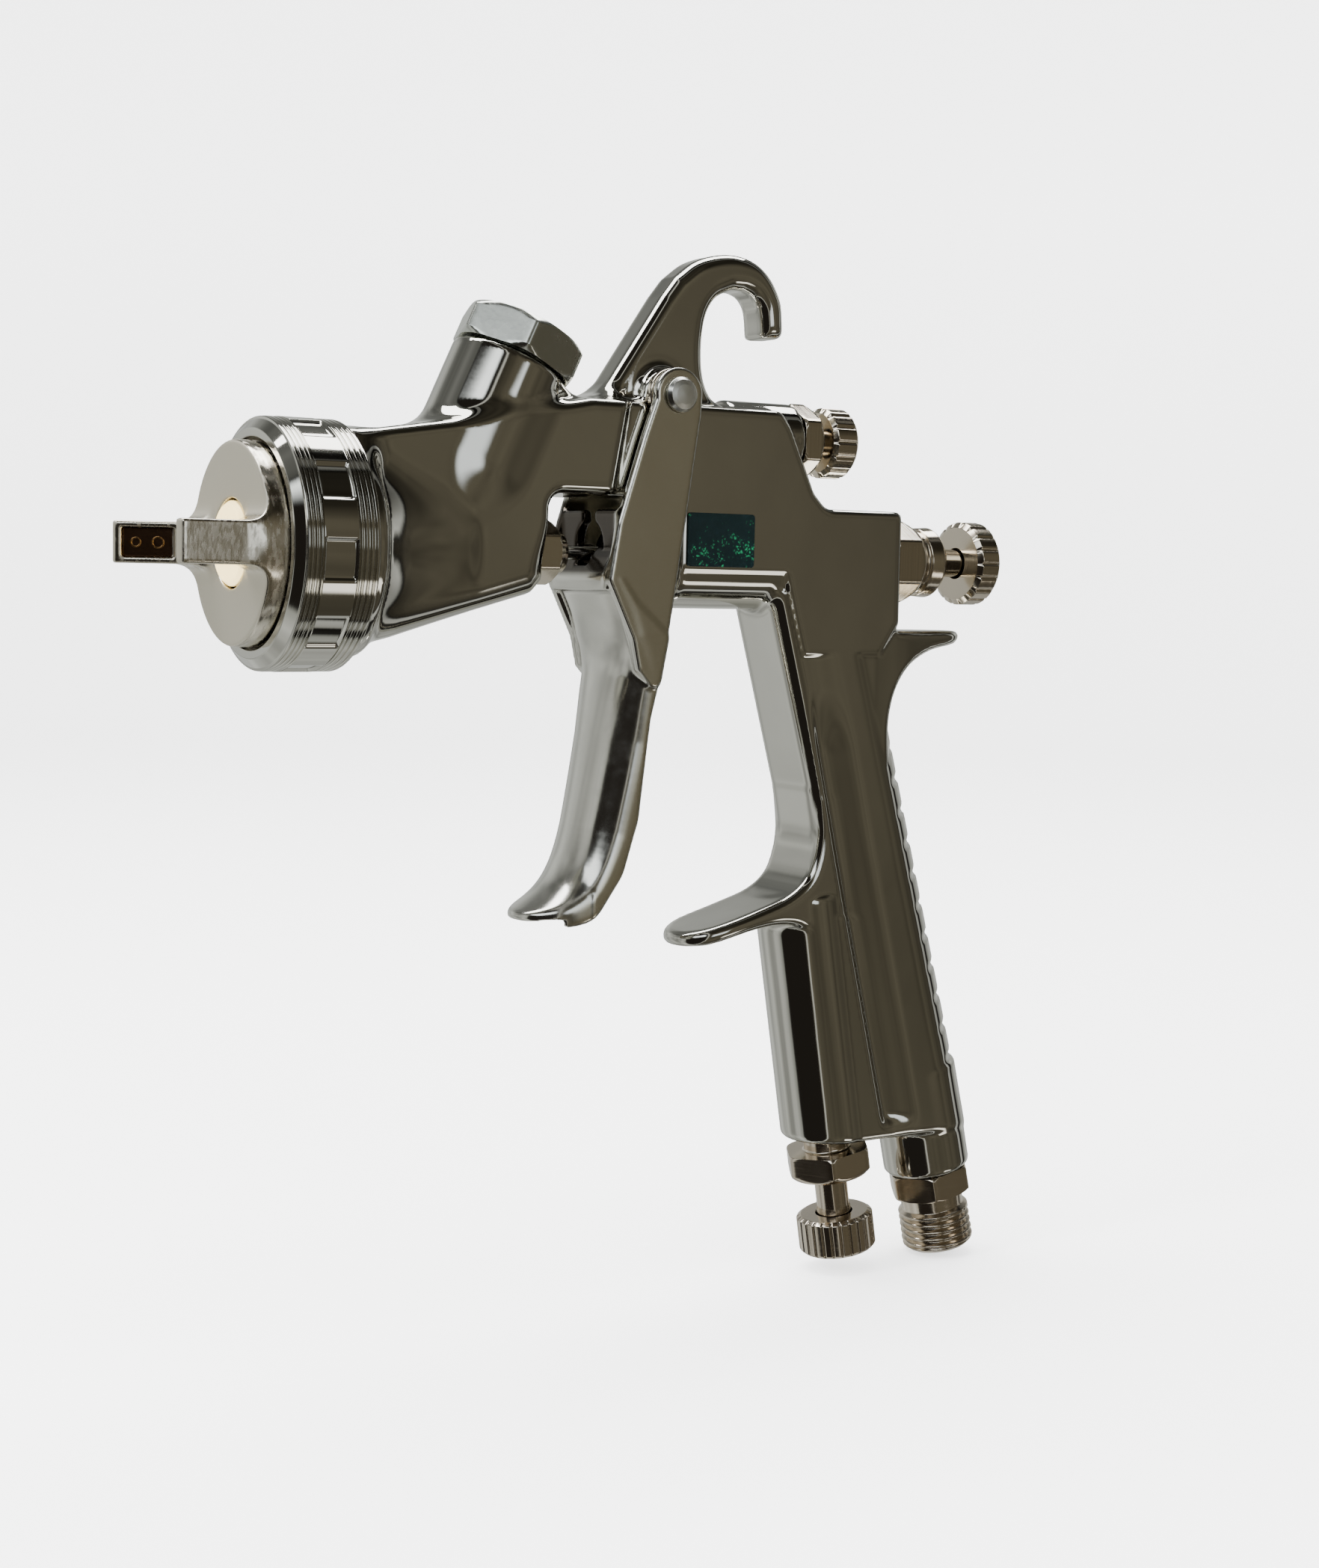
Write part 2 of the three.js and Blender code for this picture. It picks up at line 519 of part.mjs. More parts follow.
// The lip that the lever ends in, flared towards the muzzle.
function triggerLip() {
  const outline = new THREE.Shape();
  outline.moveTo(61.4, -50.5);
  outline.splineThru(points([[60, -53.6], [56.8, -56.4], [49.4, -59]]));
  outline.splineThru(points([[53.4, -61.6], [58.6, -61.6], [63, -57.6]]));
  const plan = new THREE.Shape();
  plan.moveTo(70, -8.6);
  plan.lineTo(60, -8.6);
  plan.splineThru(points([[54, -6.8], [50.4, -3.6], [49.4, 0], [50.4, 3.6], [54, 6.8], [60, 8.6]]));
  plan.lineTo(70, 8.6);
  return slab(outline, -9, 9).intersect(column(plan, -70, -40));
}

piece('trigger', join(
  triggerArm(-1),
  triggerArm(1),
  triggerWall(),
  triggerPusher(),
  triggerLever(),
  triggerLip(),
), plated);

const HEAD = { x0: ARM.outer + GAP, x1: ARM.outer + 1.6, r: 2.9, shoulderR: 2.7, faceR: 2.2 };
piece('trigger_stud', atPivot(cut(join(
  rod(-HEAD.x0, ARM.outer, 2.2),
  turned([[-HEAD.x1, 0], [-HEAD.x1, HEAD.faceR], [0.4 - HEAD.x1, HEAD.shoulderR], [-HEAD.x0, HEAD.r],
    [-HEAD.x0, 0]]),
), rod(4, 11, 1.3))), nickel);
piece('trigger_screw', atPivot(join(
  rod(5, HEAD.x0 + 0.2, 1),
  turned([[HEAD.x0, 0], [HEAD.x0, HEAD.r], [HEAD.x1 - 0.4, HEAD.shoulderR], [HEAD.x1, HEAD.faceR],
    [HEAD.x1, 0]]),
)), nickel);
piece('pivot_washer_left', atPivot(tube(GAP - ARM.inner, -BOSS_HALF - GAP, 4.5, 2.5)), nickel);
piece('pivot_washer_right', atPivot(tube(BOSS_HALF + GAP, ARM.inner - GAP, 4.5, 2.5)), nickel);

// ---- Label -------------------------------------------------------------------------------------------
const LABEL = { x0: 76.8, x1: 90.2, z0: -1.8, z1: 7.1, thickness: 0.2 };
const LABEL_FACE = -BODY_HALF - GAP / 2;
piece('side_label', slab(
  [[LABEL.x0, LABEL.z0], [LABEL.x1, LABEL.z0], [LABEL.x1, LABEL.z1], [LABEL.x0, LABEL.z1]],
  LABEL_FACE - LABEL.thickness,
  LABEL_FACE,
), foil);

export default group;
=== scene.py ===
"""The looks of a gravity-feed spray gun without its cup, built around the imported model."""
import math

import bpy
import numpy as np
from mathutils import Matrix, Vector

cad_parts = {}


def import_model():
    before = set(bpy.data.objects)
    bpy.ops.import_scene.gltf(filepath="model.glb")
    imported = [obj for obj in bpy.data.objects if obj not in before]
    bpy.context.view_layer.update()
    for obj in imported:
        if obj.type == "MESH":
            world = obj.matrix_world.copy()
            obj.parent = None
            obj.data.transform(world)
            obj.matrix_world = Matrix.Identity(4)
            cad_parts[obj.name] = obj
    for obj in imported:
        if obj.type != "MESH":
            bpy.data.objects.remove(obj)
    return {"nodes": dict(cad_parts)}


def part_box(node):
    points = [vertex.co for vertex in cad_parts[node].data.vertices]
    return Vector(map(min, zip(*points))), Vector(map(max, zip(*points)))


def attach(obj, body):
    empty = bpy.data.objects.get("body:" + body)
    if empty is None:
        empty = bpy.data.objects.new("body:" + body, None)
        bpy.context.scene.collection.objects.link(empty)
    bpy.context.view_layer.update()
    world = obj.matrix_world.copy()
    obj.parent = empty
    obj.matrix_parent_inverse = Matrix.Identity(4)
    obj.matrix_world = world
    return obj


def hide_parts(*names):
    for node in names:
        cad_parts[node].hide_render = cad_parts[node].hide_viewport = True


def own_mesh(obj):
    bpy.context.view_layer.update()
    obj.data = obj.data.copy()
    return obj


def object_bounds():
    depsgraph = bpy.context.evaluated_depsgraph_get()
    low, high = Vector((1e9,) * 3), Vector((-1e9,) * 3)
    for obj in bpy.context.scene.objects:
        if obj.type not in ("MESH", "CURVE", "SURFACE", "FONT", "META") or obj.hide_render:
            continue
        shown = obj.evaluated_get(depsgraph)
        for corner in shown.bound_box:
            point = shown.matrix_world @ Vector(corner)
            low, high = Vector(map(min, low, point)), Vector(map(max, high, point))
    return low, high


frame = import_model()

CAD_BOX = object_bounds()
MM = 0.001

# Shapes are drawn in the gun's own axes, in millimetres: the needle runs along X through y = 0 and z = 0,
# and x = 0 is the front face of the air cap, which is RING_FRONT ahead of its ring.
RING_FRONT = 3.0
needle_low, needle_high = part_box("fluid_needle")
GUN = np.array([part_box("cap_ring")[0].x / MM - RING_FRONT, 0.0, (needle_low.z + needle_high.z) / 2 / MM])


# ---- Meshes ----
def into_scene(made):
    bpy.context.scene.collection.objects.link(made)


def finish_piece(name, verts, faces, material, body, replaces, normals=None):
    """A smooth-shaded mesh from points in the gun's axes, riding on a body and standing for CAD nodes."""
    mesh = bpy.data.meshes.new(name)
    verts = (np.asarray(verts, float) + GUN) * MM
    mesh.from_pydata(verts.tolist(), [], faces if isinstance(faces, list) else faces.tolist())
    mesh.polygons.foreach_set("use_smooth", np.ones(len(mesh.polygons), bool))
    mesh.update()
    if normals is not None:
        mesh.normals_split_custom_set_from_vertices(normals.tolist())
    mesh.materials.append(material)
    piece = bpy.data.objects.new(name, mesh)
    into_scene(piece)
    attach(piece, body)
    if replaces:
        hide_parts(*replaces)
    return piece


def strips(rows, count, first=0, closed=False, flip=False):
    """Quads between rows of count points, each row a loop; closed joins the last row to the first one."""
    faces = []
    for row in range(rows if closed else rows - 1):
        a, b = first + row * count, first + (row + 1) % rows * count
        for i in range(count):
            j = (i + 1) % count
            faces.append((a + i, a + j, b + j, b + i) if flip else (a + i, b + i, b + j, a + j))
    return faces


# ---- Distance fields: negative inside, in millimetres ----
def smooth_min(a, b, k):
    h = np.maximum(k - np.abs(a - b), 0) / k
    return np.minimum(a, b) - h * h * k / 4


def smooth_max(a, b, k):
    return -smooth_min(-a, -b, k)


def ramp(low, high, value):
    t = np.clip((value - low) / (high - low), 0, 1)
    return t * t * (3 - 2 * t)


def rounded(corners, segments=8):
    """A closed outline of (u, v, radius) corners, each one rounded by its radius."""
    pts = np.array([c[:2] for c in corners], float)
    out = []
    for i, corner in enumerate(corners):
        here, before, after = pts[i], pts[i - 1], pts[(i + 1) % len(pts)]
        radius = corner[2] if len(corner) > 2 else 0
        if radius == 0:
            out.append(here)
            continue
        a, b = before - here, after - here
        la, lb = np.linalg.norm(a), np.linalg.norm(b)
        a, b = a / la, b / lb
        half = math.acos(np.clip(a @ b, -1, 1)) / 2
        reach = min(radius / math.tan(half), 0.49 * la, 0.49 * lb)
        radius = reach * math.tan(half)
        middle = here + (a + b) / np.linalg.norm(a + b) * radius / math.sin(half)
        start, end = here + a * reach - middle, here + b * reach - middle
        turn = math.atan2(start[0] * end[1] - start[1] * end[0], start @ end)
        for j in range(segments + 1):
            t = turn * j / segments
            c, s = math.cos(t), math.sin(t)
            out.append(middle + [c * start[0] - s * start[1], s * start[0] + c * start[1]])
    return np.array(out)


def both_sides(points):
    """Points from one flank to the middle line, and their mirror images back along the other flank."""
    return points + [(u, -v) for u, v in points[-2::-1]]


def panel(low_u, high_u, low_v, high_v, radius, segments):
    """A rectangle with rounded corners."""
    corners = [(low_u, low_v), (high_u, low_v), (high_u, high_v), (low_u, high_v)]
    return rounded([(*corner, radius) for corner in corners], segments)


def curve(points, per_span=8):
    """Points along a smooth curve through the given ones, ends included, as sharp corners."""
    p = np.array(points, float)
    p = np.vstack([2 * p[0] - p[1], p, 2 * p[-1] - p[-2]])
    out = []
    for i in range(1, len(p) - 2):
        for t in np.linspace(0, 1, per_span, endpoint=False):
            a, b, c, d = p[i - 1:i + 3]
            out.append(0.5 * (2 * b + (c - a) * t + (2 * a - 5 * b + 4 * c - d) * t * t
                              + (3 * b - a - 3 * c + d) * t ** 3))
    out.append(p[-2])
    return [(q[0], q[1], 0) for q in out]


def inside(outline, u, v):
    """Signed distance to a closed outline."""
    u, v = np.broadcast_arrays(u, v)
    best = np.full(u.shape, 1e9)
    odd = np.zeros(u.shape, bool)
    for a, b in zip(outline, np.roll(outline, -1, axis=0)):
        e = b - a
        length = e @ e
        if length < 1e-12:
            continue
        wu, wv = u - a[0], v - a[1]
        t = np.clip((wu * e[0] + wv * e[1]) / length, 0, 1)
        best = np.minimum(best, (wu - e[0] * t) ** 2 + (wv - e[1] * t) ** 2)
        if a[1] != b[1]:
            odd ^= ((v >= a[1]) != (v >= b[1])) & (u < a[0] + (v - a[1]) * e[0] / e[1])
    return np.where(odd, -1, 1) * np.sqrt(best)


def overlap(a, b, edge):
    """Where two shapes overlap, with the edge between them rounded."""
    a, b = a + edge, b + edge
    return np.hypot(np.maximum(a, 0), np.maximum(b, 0)) + np.minimum(np.maximum(a, b), 0) - edge


def prism(flat, across, half, edge):
    """A flat shape of distance flat made 2 * half thick, with its edges rounded by edge."""
    return overlap(flat, np.abs(across) - half, edge)


def rod(x, y, z, at, tilt, start, end, radius, edge=0.3):
    """A round bar through (x, z) = at, whose length runs along (cos tilt, sin tilt) in the X-Z plane."""
    c, s = math.cos(math.radians(tilt)), math.sin(math.radians(tilt))
    along = (x - at[0]) * c + (z - at[1]) * s
    off = np.hypot((z - at[1]) * c - (x - at[0]) * s, y)
    middle, half = (start + end) / 2, (end - start) / 2
    return prism(off - radius, along - middle, half, edge)


CORNERS = [(i, j, k) for i in (0, 1) for j in (0, 1) for k in (0, 1)]


def mesh_of(field, low, high, step):
    """Vertices, quads and normals of a field's zero surface inside a box, by surface nets."""
    axes = [np.arange(a, b + step, step) for a, b in zip(low, high)]
    x, y, z = axes[0][:, None, None], axes[1][None, :, None], axes[2][None, None, :]
    f = np.ascontiguousarray(np.broadcast_to(field(x, y, z), [len(a) for a in axes]), np.float32)
    neg = f < 0
    size = [n - 1 for n in f.shape]
    part = lambda grid, c: grid[c[0]:c[0] + size[0], c[1]:c[1] + size[1], c[2]:c[2] + size[2]]
    count = sum(part(neg, c).astype(np.int8) for c in CORNERS)
    cells = np.argwhere((count > 0) & (count < 8))
    number = np.full(size, -1, np.int32)
    number[tuple(cells.T)] = np.arange(len(cells))
    total, hits = np.zeros((len(cells), 3)), np.zeros(len(cells))
    for a in CORNERS:
        for axis in range(3):
            if a[axis]:
                continue
            b = tuple(1 if i == axis else a[i] for i in range(3))
            fa, fb = f[tuple((cells + a).T)], f[tuple((cells + b).T)]
            cross = (fa < 0) != (fb < 0)
            t = np.where(cross, fa / np.where(cross, fa - fb, 1), 0)
            spot = np.tile(np.array(a, float), (len(cells), 1))
            spot[:, axis] = t
            total += spot * cross[:, None]
            hits += cross
    verts = cells + total / hits[:, None]
    quads = []
    for axis in range(3):
        u, v = (axis + 1) % 3, (axis + 2) % 3
        lo, hi = [slice(None)] * 3, [slice(None)] * 3
        lo[axis], hi[axis] = slice(0, -1), slice(1, None)
        first, second = neg[tuple(lo)], neg[tuple(hi)]
        edges = np.argwhere(first != second)
        row, column = edges[:, u], edges[:, v]
        edges = edges[(row > 0) & (column > 0) & (row < size[u]) & (column < size[v])]
        ring = []
        for du, dv in ((1, 1), (0, 1), (0, 0), (1, 0)):
            cell = edges.copy()
            cell[:, u] -= du
            cell[:, v] -= dv
            ring.append(number[tuple(cell.T)])
        quad = np.stack(ring, 1)
        flip = ~first[tuple(edges.T)]
        quad[flip] = quad[flip][:, ::-1]
        quads.append(quad)
    slopes = np.gradient(f)
    for _ in range(3):
        value, normal = sample(f, verts), np.stack([sample(g, verts) for g in slopes], 1)
        verts -= value[:, None] * normal / np.maximum((normal ** 2).sum(1), 1e-9)[:, None]
    normal = np.stack([sample(g, verts) for g in slopes], 1)
    normal /= np.linalg.norm(normal, axis=1)[:, None]
    return verts * step + np.array(low), np.concatenate(quads), normal


def sample(grid, at):
    """A grid's value between its points."""
    at = np.clip(at, 0, np.array(grid.shape) - 1.001)
    base = at.astype(int)
    f = at - base
    value = 0
    for c in CORNERS:
        weight = np.prod(np.where(c, f, 1 - f), axis=1)
        value = value + weight * grid[tuple((base + c).T)]
    return value


# ---- Casting ----
BARREL_HALF = 9.4
BLOCK_HALF = 8.2
HOOK_HALF = 4.0
# The trigger's opening: its front, its back and its top.
WINDOW = (50.5, 75.6, 9.4)
BLOCK_TOP = 24.8
GRIP_FRONT = (97.0, -12.0)
GRIP_TILT = 15.5
GRIP_END = -103.6
AIR_AT, AIR_TILT = (116.8, -117.7), 9.4
NIPPLE_AT, NIPPLE_TILT = (137.9, -111.5), 12.5
INLET_X, INLET_TILT, INLET_END = 33.6, 25.0, 33.0
PIVOT = (73.5, 26.0)
PATTERN_Z = 20.3
PANEL_EDGE = ((98.5, -1.8), (122.9, -101.7))
WEB_HALF = 7.7

barrel_outline = rounded([
    (16, -15), (24, -13.7, 6), (48.5, -6.8, 2), (WINDOW[0], -4.6, 1.5), (WINDOW[0], WINDOW[2], 2.6),
    (62.4, WINDOW[2], 0.3), (65.2, BLOCK_TOP, 0.3), (58, BLOCK_TOP, 3), (33, 20, 3), (16, 17.4)])
rear_outline = rounded([
    (60, WINDOW[2]), (WINDOW[1], WINDOW[2], 2), (WINDOW[1], -3), (97, -3), (98.4, -8), (101, -17),
    (118, -17), (122, -11), (122, 8.6, 1.2), (105.6, 8.6, 3), (103, 11.2, 3), (98, 21.8, 2),
    (95.8, BLOCK_TOP, 2.5), (60, BLOCK_TOP)])
hook_outline = rounded([
    (59.8, 21), (74.6, 42.8),
    *curve([(77.2, 46.1), (81, 48.9), (85, 50.3), (89, 50.7), (93, 49.8), (96.2, 47.4), (98.4, 43.6),
            (98.9, 39.6)]),
    (98.9, 37.3, 1.2), (94.6, 37.1, 0.8),
    *curve([(94.3, 40.4), (93.9, 42.3), (92.6, 44), (90.6, 44.8)]),
    *curve([(88.4, 44.8), (85.2, 43.2), (83.2, 40), (82.5, 35), (82.9, 30), (84.6, 26.6), (88, 24.6)]),
    (88, 21)])
tang_outline = rounded([
    (108, -7), (122, -7), (122, -12.2, 0.3), (139.2, -12.2, 1.3), (140.6, -13.6, 1),
    *curve([(138, -14.6), (131, -15.9), (125.4, -18.6), (122, -23), (120.6, -29), (121, -36)]), (112, -40)])
tang_plan = rounded([
    (100, -8.6),
    *curve(both_sides([(117, -8.5), (124, -7.4), (131, -5.9), (137, -4.6), (139.8, -2.4), (140.6, 0)])),
    (100, 8.6)])
rest_outline = rounded([
    (113, -40), (105.6, -40.5),
    *curve([(105.9, -43.5), (106.3, -48), (105.6, -52.2), (103.9, -55.8), (100.2, -58.5), (94, -60.6),
            (86, -62.9), (82, -64)]),
    (80, -64.6, 1), (80.4, -66.8, 1),
    *curve([(84, -66.3), (89, -65), (94, -63.9), (99, -63.4), (103, -64.2), (106, -67)]), (114, -70)])
web_outline = rounded([(107.5, -62), (118, -62), (134, -106), (115.8, -106)])
rest_plan = rounded([
    (120, -8.1), *curve(both_sides([(97, -8.1), (90, -8.1), (85.4, -7), (81.8, -4.6), (80, 0)])),
    (120, 8.1)])


def along_grip(x, z):
    """(distance behind the grip's front face, distance down the grip)."""
    c, s = math.cos(math.radians(GRIP_TILT)), math.sin(math.radians(GRIP_TILT))
    u, v = x - GRIP_FRONT[0], z - GRIP_FRONT[1]
    return u * c + v * s, u * s - v * c


def behind_rib(x, z):
    """Distance behind the front edge of the raised side panel, which runs down the grip."""
    (x0, z0), (x1, z1) = PANEL_EDGE
    return ((x - x0) * (z0 - z1) + (z - z0) * (x1 - x0)) / math.hypot(x1 - x0, z1 - z0)


def side_groove(x, y, z):
    """How far the side is sunk along the front edge of its raised panel, fading out behind that edge."""
    behind, depth = behind_rib(x, z), 1.1
    along = ramp(-22, -34, z) * ramp(-102, -99, z)
    return depth * ramp(-1.5, 0, behind) * (1 - ramp(0, 7, behind)) * along * ramp(4, 6, np.abs(y))


def grip_field(x, y, z):
    """A bar with softened front edges, a half-round back with shallow ridges, and a level lower end."""
    depth, down = along_grip(x, z)
    front_edge, back, ridge_pitch, ridge_depth = 3.0, 13.0, 5.9, 0.45
    half = WEB_HALF + (BLOCK_HALF - WEB_HALF) * ramp(0, 7, behind_rib(x, z))
    front = overlap(-depth, np.abs(y) - half, front_edge)
    section = np.where(depth > back, np.hypot(depth - back, y) - BLOCK_HALF, front)
    phase = np.abs(((down - 27) / ridge_pitch) % 1 - 0.5) * 2
    ridged = ramp(26, 28, down) * ramp(90, 88, down) * ramp(back + 3, back + 6, depth)
    section = section + ridge_depth * ramp(0.62, 0.9, phase) * ridged
    return np.maximum(overlap(section, GRIP_END - z, 1.2), z + 6)


def nose_field(x, y, z):
    profile = rounded([
        (8.5, 0), (8.5, 17.5, 0.4), (18.4, 17.5, 1), (19.4, 14.6, 2), (24, 12.6, 3), (35, 8.6), (35, 0)])
    return inside(profile, x, np.hypot(y, z))


def from_pivot(x, z):
    return np.hypot(x - PIVOT[0], z - PIVOT[1])


def casting_field(x, y, z):
    """The whole casting, from the nose and the leaning tube to the grip and its two fittings' bosses."""
    barrel = prism(inside(barrel_outline, x, z), y, BARREL_HALF, 4.4 - 2.8 * ramp(-4, 6, z))
    rise = (x - INLET_X) * math.sin(math.radians(INLET_TILT)) + z * math.cos(math.radians(INLET_TILT))
    tube = rod(x, y, z, (INLET_X, 0), 90 - INLET_TILT, 2, INLET_END, 9.75 - 2.9 * ramp(15, 1, rise), 0.7)
    front = smooth_min(barrel, tube, 2.6)
    front = smooth_min(front, nose_field(x, y, z), 4)
    rear = prism(inside(rear_outline, x, z), y, BLOCK_HALF, 1.1)
    body = smooth_min(front, rear, 0.6)
    hook = prism(inside(hook_outline, x, z), y, HOOK_HALF, 2.2)
    boss = prism(from_pivot(x, z) - 4.3, y, 6.8, 0.4)
    saddle = rounded([(44, 18), (46, 24), (49.6, 28, 2), (58, 24.6, 3), (64, 26), (64, 18)])
    saddle = prism(inside(saddle, x, z), y, 6, 2)
    crown = smooth_min(smooth_min(hook, boss, 2.4), saddle, 3)
    body = smooth_min(body, crown, 1.8)
    pattern = rod(x, y, z, (0, PATTERN_Z), 0, 88, 102, 6.3, 0.4)
    body = smooth_min(body, pattern, 1)
    housing = smooth_max(rod(x, y, z, (0, 0), 0, WINDOW[1], 101, 8.9, 1.2), np.abs(y) - 7.9, 1.2)
    grip = grip_field(x, y, z)
    body = np.minimum(body, smooth_min(housing, grip, 1.6))
    blend = 0.15 + 1.6 * (1 - ramp(4.5, 7.5, np.abs(y)))
    tang = smooth_max(prism(inside(tang_outline, x, z), y, BLOCK_HALF, 1.1), inside(tang_plan, x, y), 1.4)
    body = smooth_min(body, tang, blend)
    rest = smooth_max(prism(inside(rest_outline, x, z), y, WEB_HALF, 1.7), inside(rest_plan, x, y), 1.4)
    body = smooth_min(body, rest, blend)
    valve = rod(x, y, z, AIR_AT, AIR_TILT - 90, -60, 30, 8.0, 1)
    web = prism(inside(web_outline, x, z), y, WEB_HALF, 0.4)
    valve = smooth_max(np.minimum(valve, web), GRIP_END - z, 1.2)
    body = smooth_min(body, valve, blend)
    boss = rod(x, y, z, NIPPLE_AT, NIPPLE_TILT - 90, -20, 0, 7.9, 0.7)
    body = smooth_min(body, boss, 0.8) + side_groove(x, y, z)
    return smooth_max(body, -bores(x, y, z), 0.5)


def bores(x, y, z):
    """Every drilled hole: needle line, cup fitting, two adjusters, nipple and pivot."""
    needle, cup, pattern = (0, 0), (INLET_X, 0), (0, PATTERN_Z)
    up, air, nipple = 90 - INLET_TILT, AIR_TILT - 90, NIPPLE_TILT - 90
    drilled = [
        (needle, 0, 7, 30, 4.9), (needle, 0, 29, 46, 2), (needle, 0, 43, 52, 3.6),
        (needle, 0, 7, 11.3, 13.3), (needle, 0, WINDOW[1] - 1, 124, 6.2),
        (cup, up, 0, 40, 4), (cup, up, 24, 40, 7.8),
        (pattern, 0, 72, 104, 3.2), (pattern, 0, 93, 104, 5.2), (AIR_AT, air, -46, 20, 4.4),
        (NIPPLE_AT, nipple, -32, 2, 4), (NIPPLE_AT, nipple, -12, 2, 5.6)]
    holes = [rod(x, y, z, *hole) for hole in drilled]
    off = from_pivot(x, z)
    holes += [prism(off - 2.6, y, 9, 0.3), prism(off - 5, np.abs(y) - 10.4, 3.6, 0.3)]
    return np.minimum.reduce(np.broadcast_arrays(*holes))


# ---- Materials ----
def node(tree, kind, **values):
    """A new shader node with its settings and its inputs, which are values or other nodes' outputs."""
    made = tree.nodes.new("ShaderNode" + kind)
    for key, value in values.items():
        socket = made.inputs.get(key.replace("_", " "))
        if socket is None:
            setattr(made, key, value)
        elif isinstance(value, bpy.types.NodeSocket):
            tree.links.new(value, socket)
        else:
            socket.default_value = value
    return made


def remap(tree, source, low, high, start=0.0, end=1.0, smooth=False):
    """Runs from start to end while its source runs from low to high."""
    kind = "SMOOTHSTEP" if smooth else "LINEAR"
    return node(tree, "MapRange", interpolation_type=kind, Value=source, From_Min=low, From_Max=high,
                To_Min=start, To_Max=end).outputs["Result"]


def blend(tree, factor, first, second):
    """A mix of two colours or of two numbers; the first one may be another node's output."""
    kind = "RGBA" if isinstance(second, tuple) else "FLOAT"
    return node(tree, "Mix", data_type=kind, Factor=factor, A=first, B=second).outputs["Result"]


def combined(tree, operation, *sources):
    """The outputs of other nodes put through one arithmetic operation."""
    made = node(tree, "Math", operation=operation)
    for source, target in zip(sources, made.inputs):
        tree.links.new(source, target)
    return made.outputs["Value"]


def metal(name, color, roughness, wear=0.05, grain=0.02, scale=900.0, stretch=(1, 1, 1), tilt=0.0, tint=0.1,
          marks=0.0, swell=0.0, metallic=1.0):
    """A metal whose colour, roughness and surface vary a little: smudges, fine grain and handling marks."""
    made = bpy.data.materials.new(name)
    made.use_nodes = True
    tree = made.node_tree
    link = tree.links.new
    shader = tree.nodes["Principled BSDF"].inputs
    shader["Metallic"].default_value = metallic
    place = node(tree, "TexCoord").outputs["Object"]
    smudge = node(tree, "TexNoise", Vector=place, Scale=70.0, Detail=4.0, Roughness=0.6).outputs["Fac"]
    stain = (*[c * (1 - tint) for c in color], 1)
    link(blend(tree, smudge, (*color, 1), stain), shader["Base Color"])
    spread = node(tree, "Mapping", Vector=place, Rotation=(0, math.radians(tilt), 0), Scale=stretch)
    spread = spread.outputs["Vector"]
    fine = node(tree, "TexNoise", Vector=spread, Scale=scale, Detail=3.0).outputs["Fac"]
    rough = remap(tree, smudge, 0.35, 0.75, roughness, roughness + wear)
    speckle = remap(tree, fine, 0.5, 0.7, 0.0, marks)
    link(combined(tree, "ADD", rough, speckle), shader["Roughness"])
    bump = node(tree, "Bump", Strength=grain, Distance=0.0002, Height=fine)
    if swell:
        broad = node(tree, "TexNoise", Vector=place, Scale=75.0, Detail=1.0).outputs["Fac"]
        wavy = node(tree, "Bump", Strength=swell, Distance=0.0003, Height=broad)
        link(wavy.outputs["Normal"], bump.inputs["Normal"])
    link(bump.outputs["Normal"], shader["Normal"])
    return made


def overlay(made, factor, color, roughness=None):
    """Lays a colour, and a roughness where one is given, over a material's own."""
    tree = made.node_tree
    shader = tree.nodes["Principled BSDF"].inputs
    layers = [("Base Color", (*color, 1))] + ([("Roughness", roughness)] if roughness else [])
    for key, value in layers:
        mixed = blend(tree, factor, shader[key].links[0].from_socket, value)
        tree.links.new(mixed, shader[key])


def blasted(made, axis, span, color, roughness):
    """Gives a metal a paler and duller finish on the faces that look along one axis."""
    tree = made.node_tree
    facing = node(tree, "SeparateXYZ", Vector=node(tree, "TexCoord").outputs["Normal"])
    size = combined(tree, "ABSOLUTE", facing.outputs[axis])
    overlay(made, remap(tree, size, *span, smooth=True), color, roughness)


def within(tree, split, ranges, soft):
    """1 inside a soft-edged range of each given axis of a coordinate, 0 outside it."""
    product = None
    for axis, (low, high) in ranges.items():
        for at, sign in ((low, 1), (high, -1)):
            edge = remap(tree, split.outputs[axis], at - sign * soft, at + sign * soft, smooth=True)
            product = edge if product is None else combined(tree, "MULTIPLY", product, edge)
    return product


def painted_shade_box(made, ranges, soft, color):
    """Painted shade: darkens a metal's colour inside a box in the gun's axes, in millimetres."""
    tree = made.node_tree
    split = node(tree, "SeparateXYZ", Vector=node(tree, "TexCoord").outputs["Object"])
    box = {axis: [(at + GUN["XYZ".index(axis)]) * MM for at in span] for axis, span in ranges.items()}
    overlay(made, within(tree, split, box, soft * MM), color)


def plastic(name, color, roughness):
    return metal(name, color, roughness, wear=0.08, grain=0.1, scale=300.0, tint=0.12, metallic=0.0)


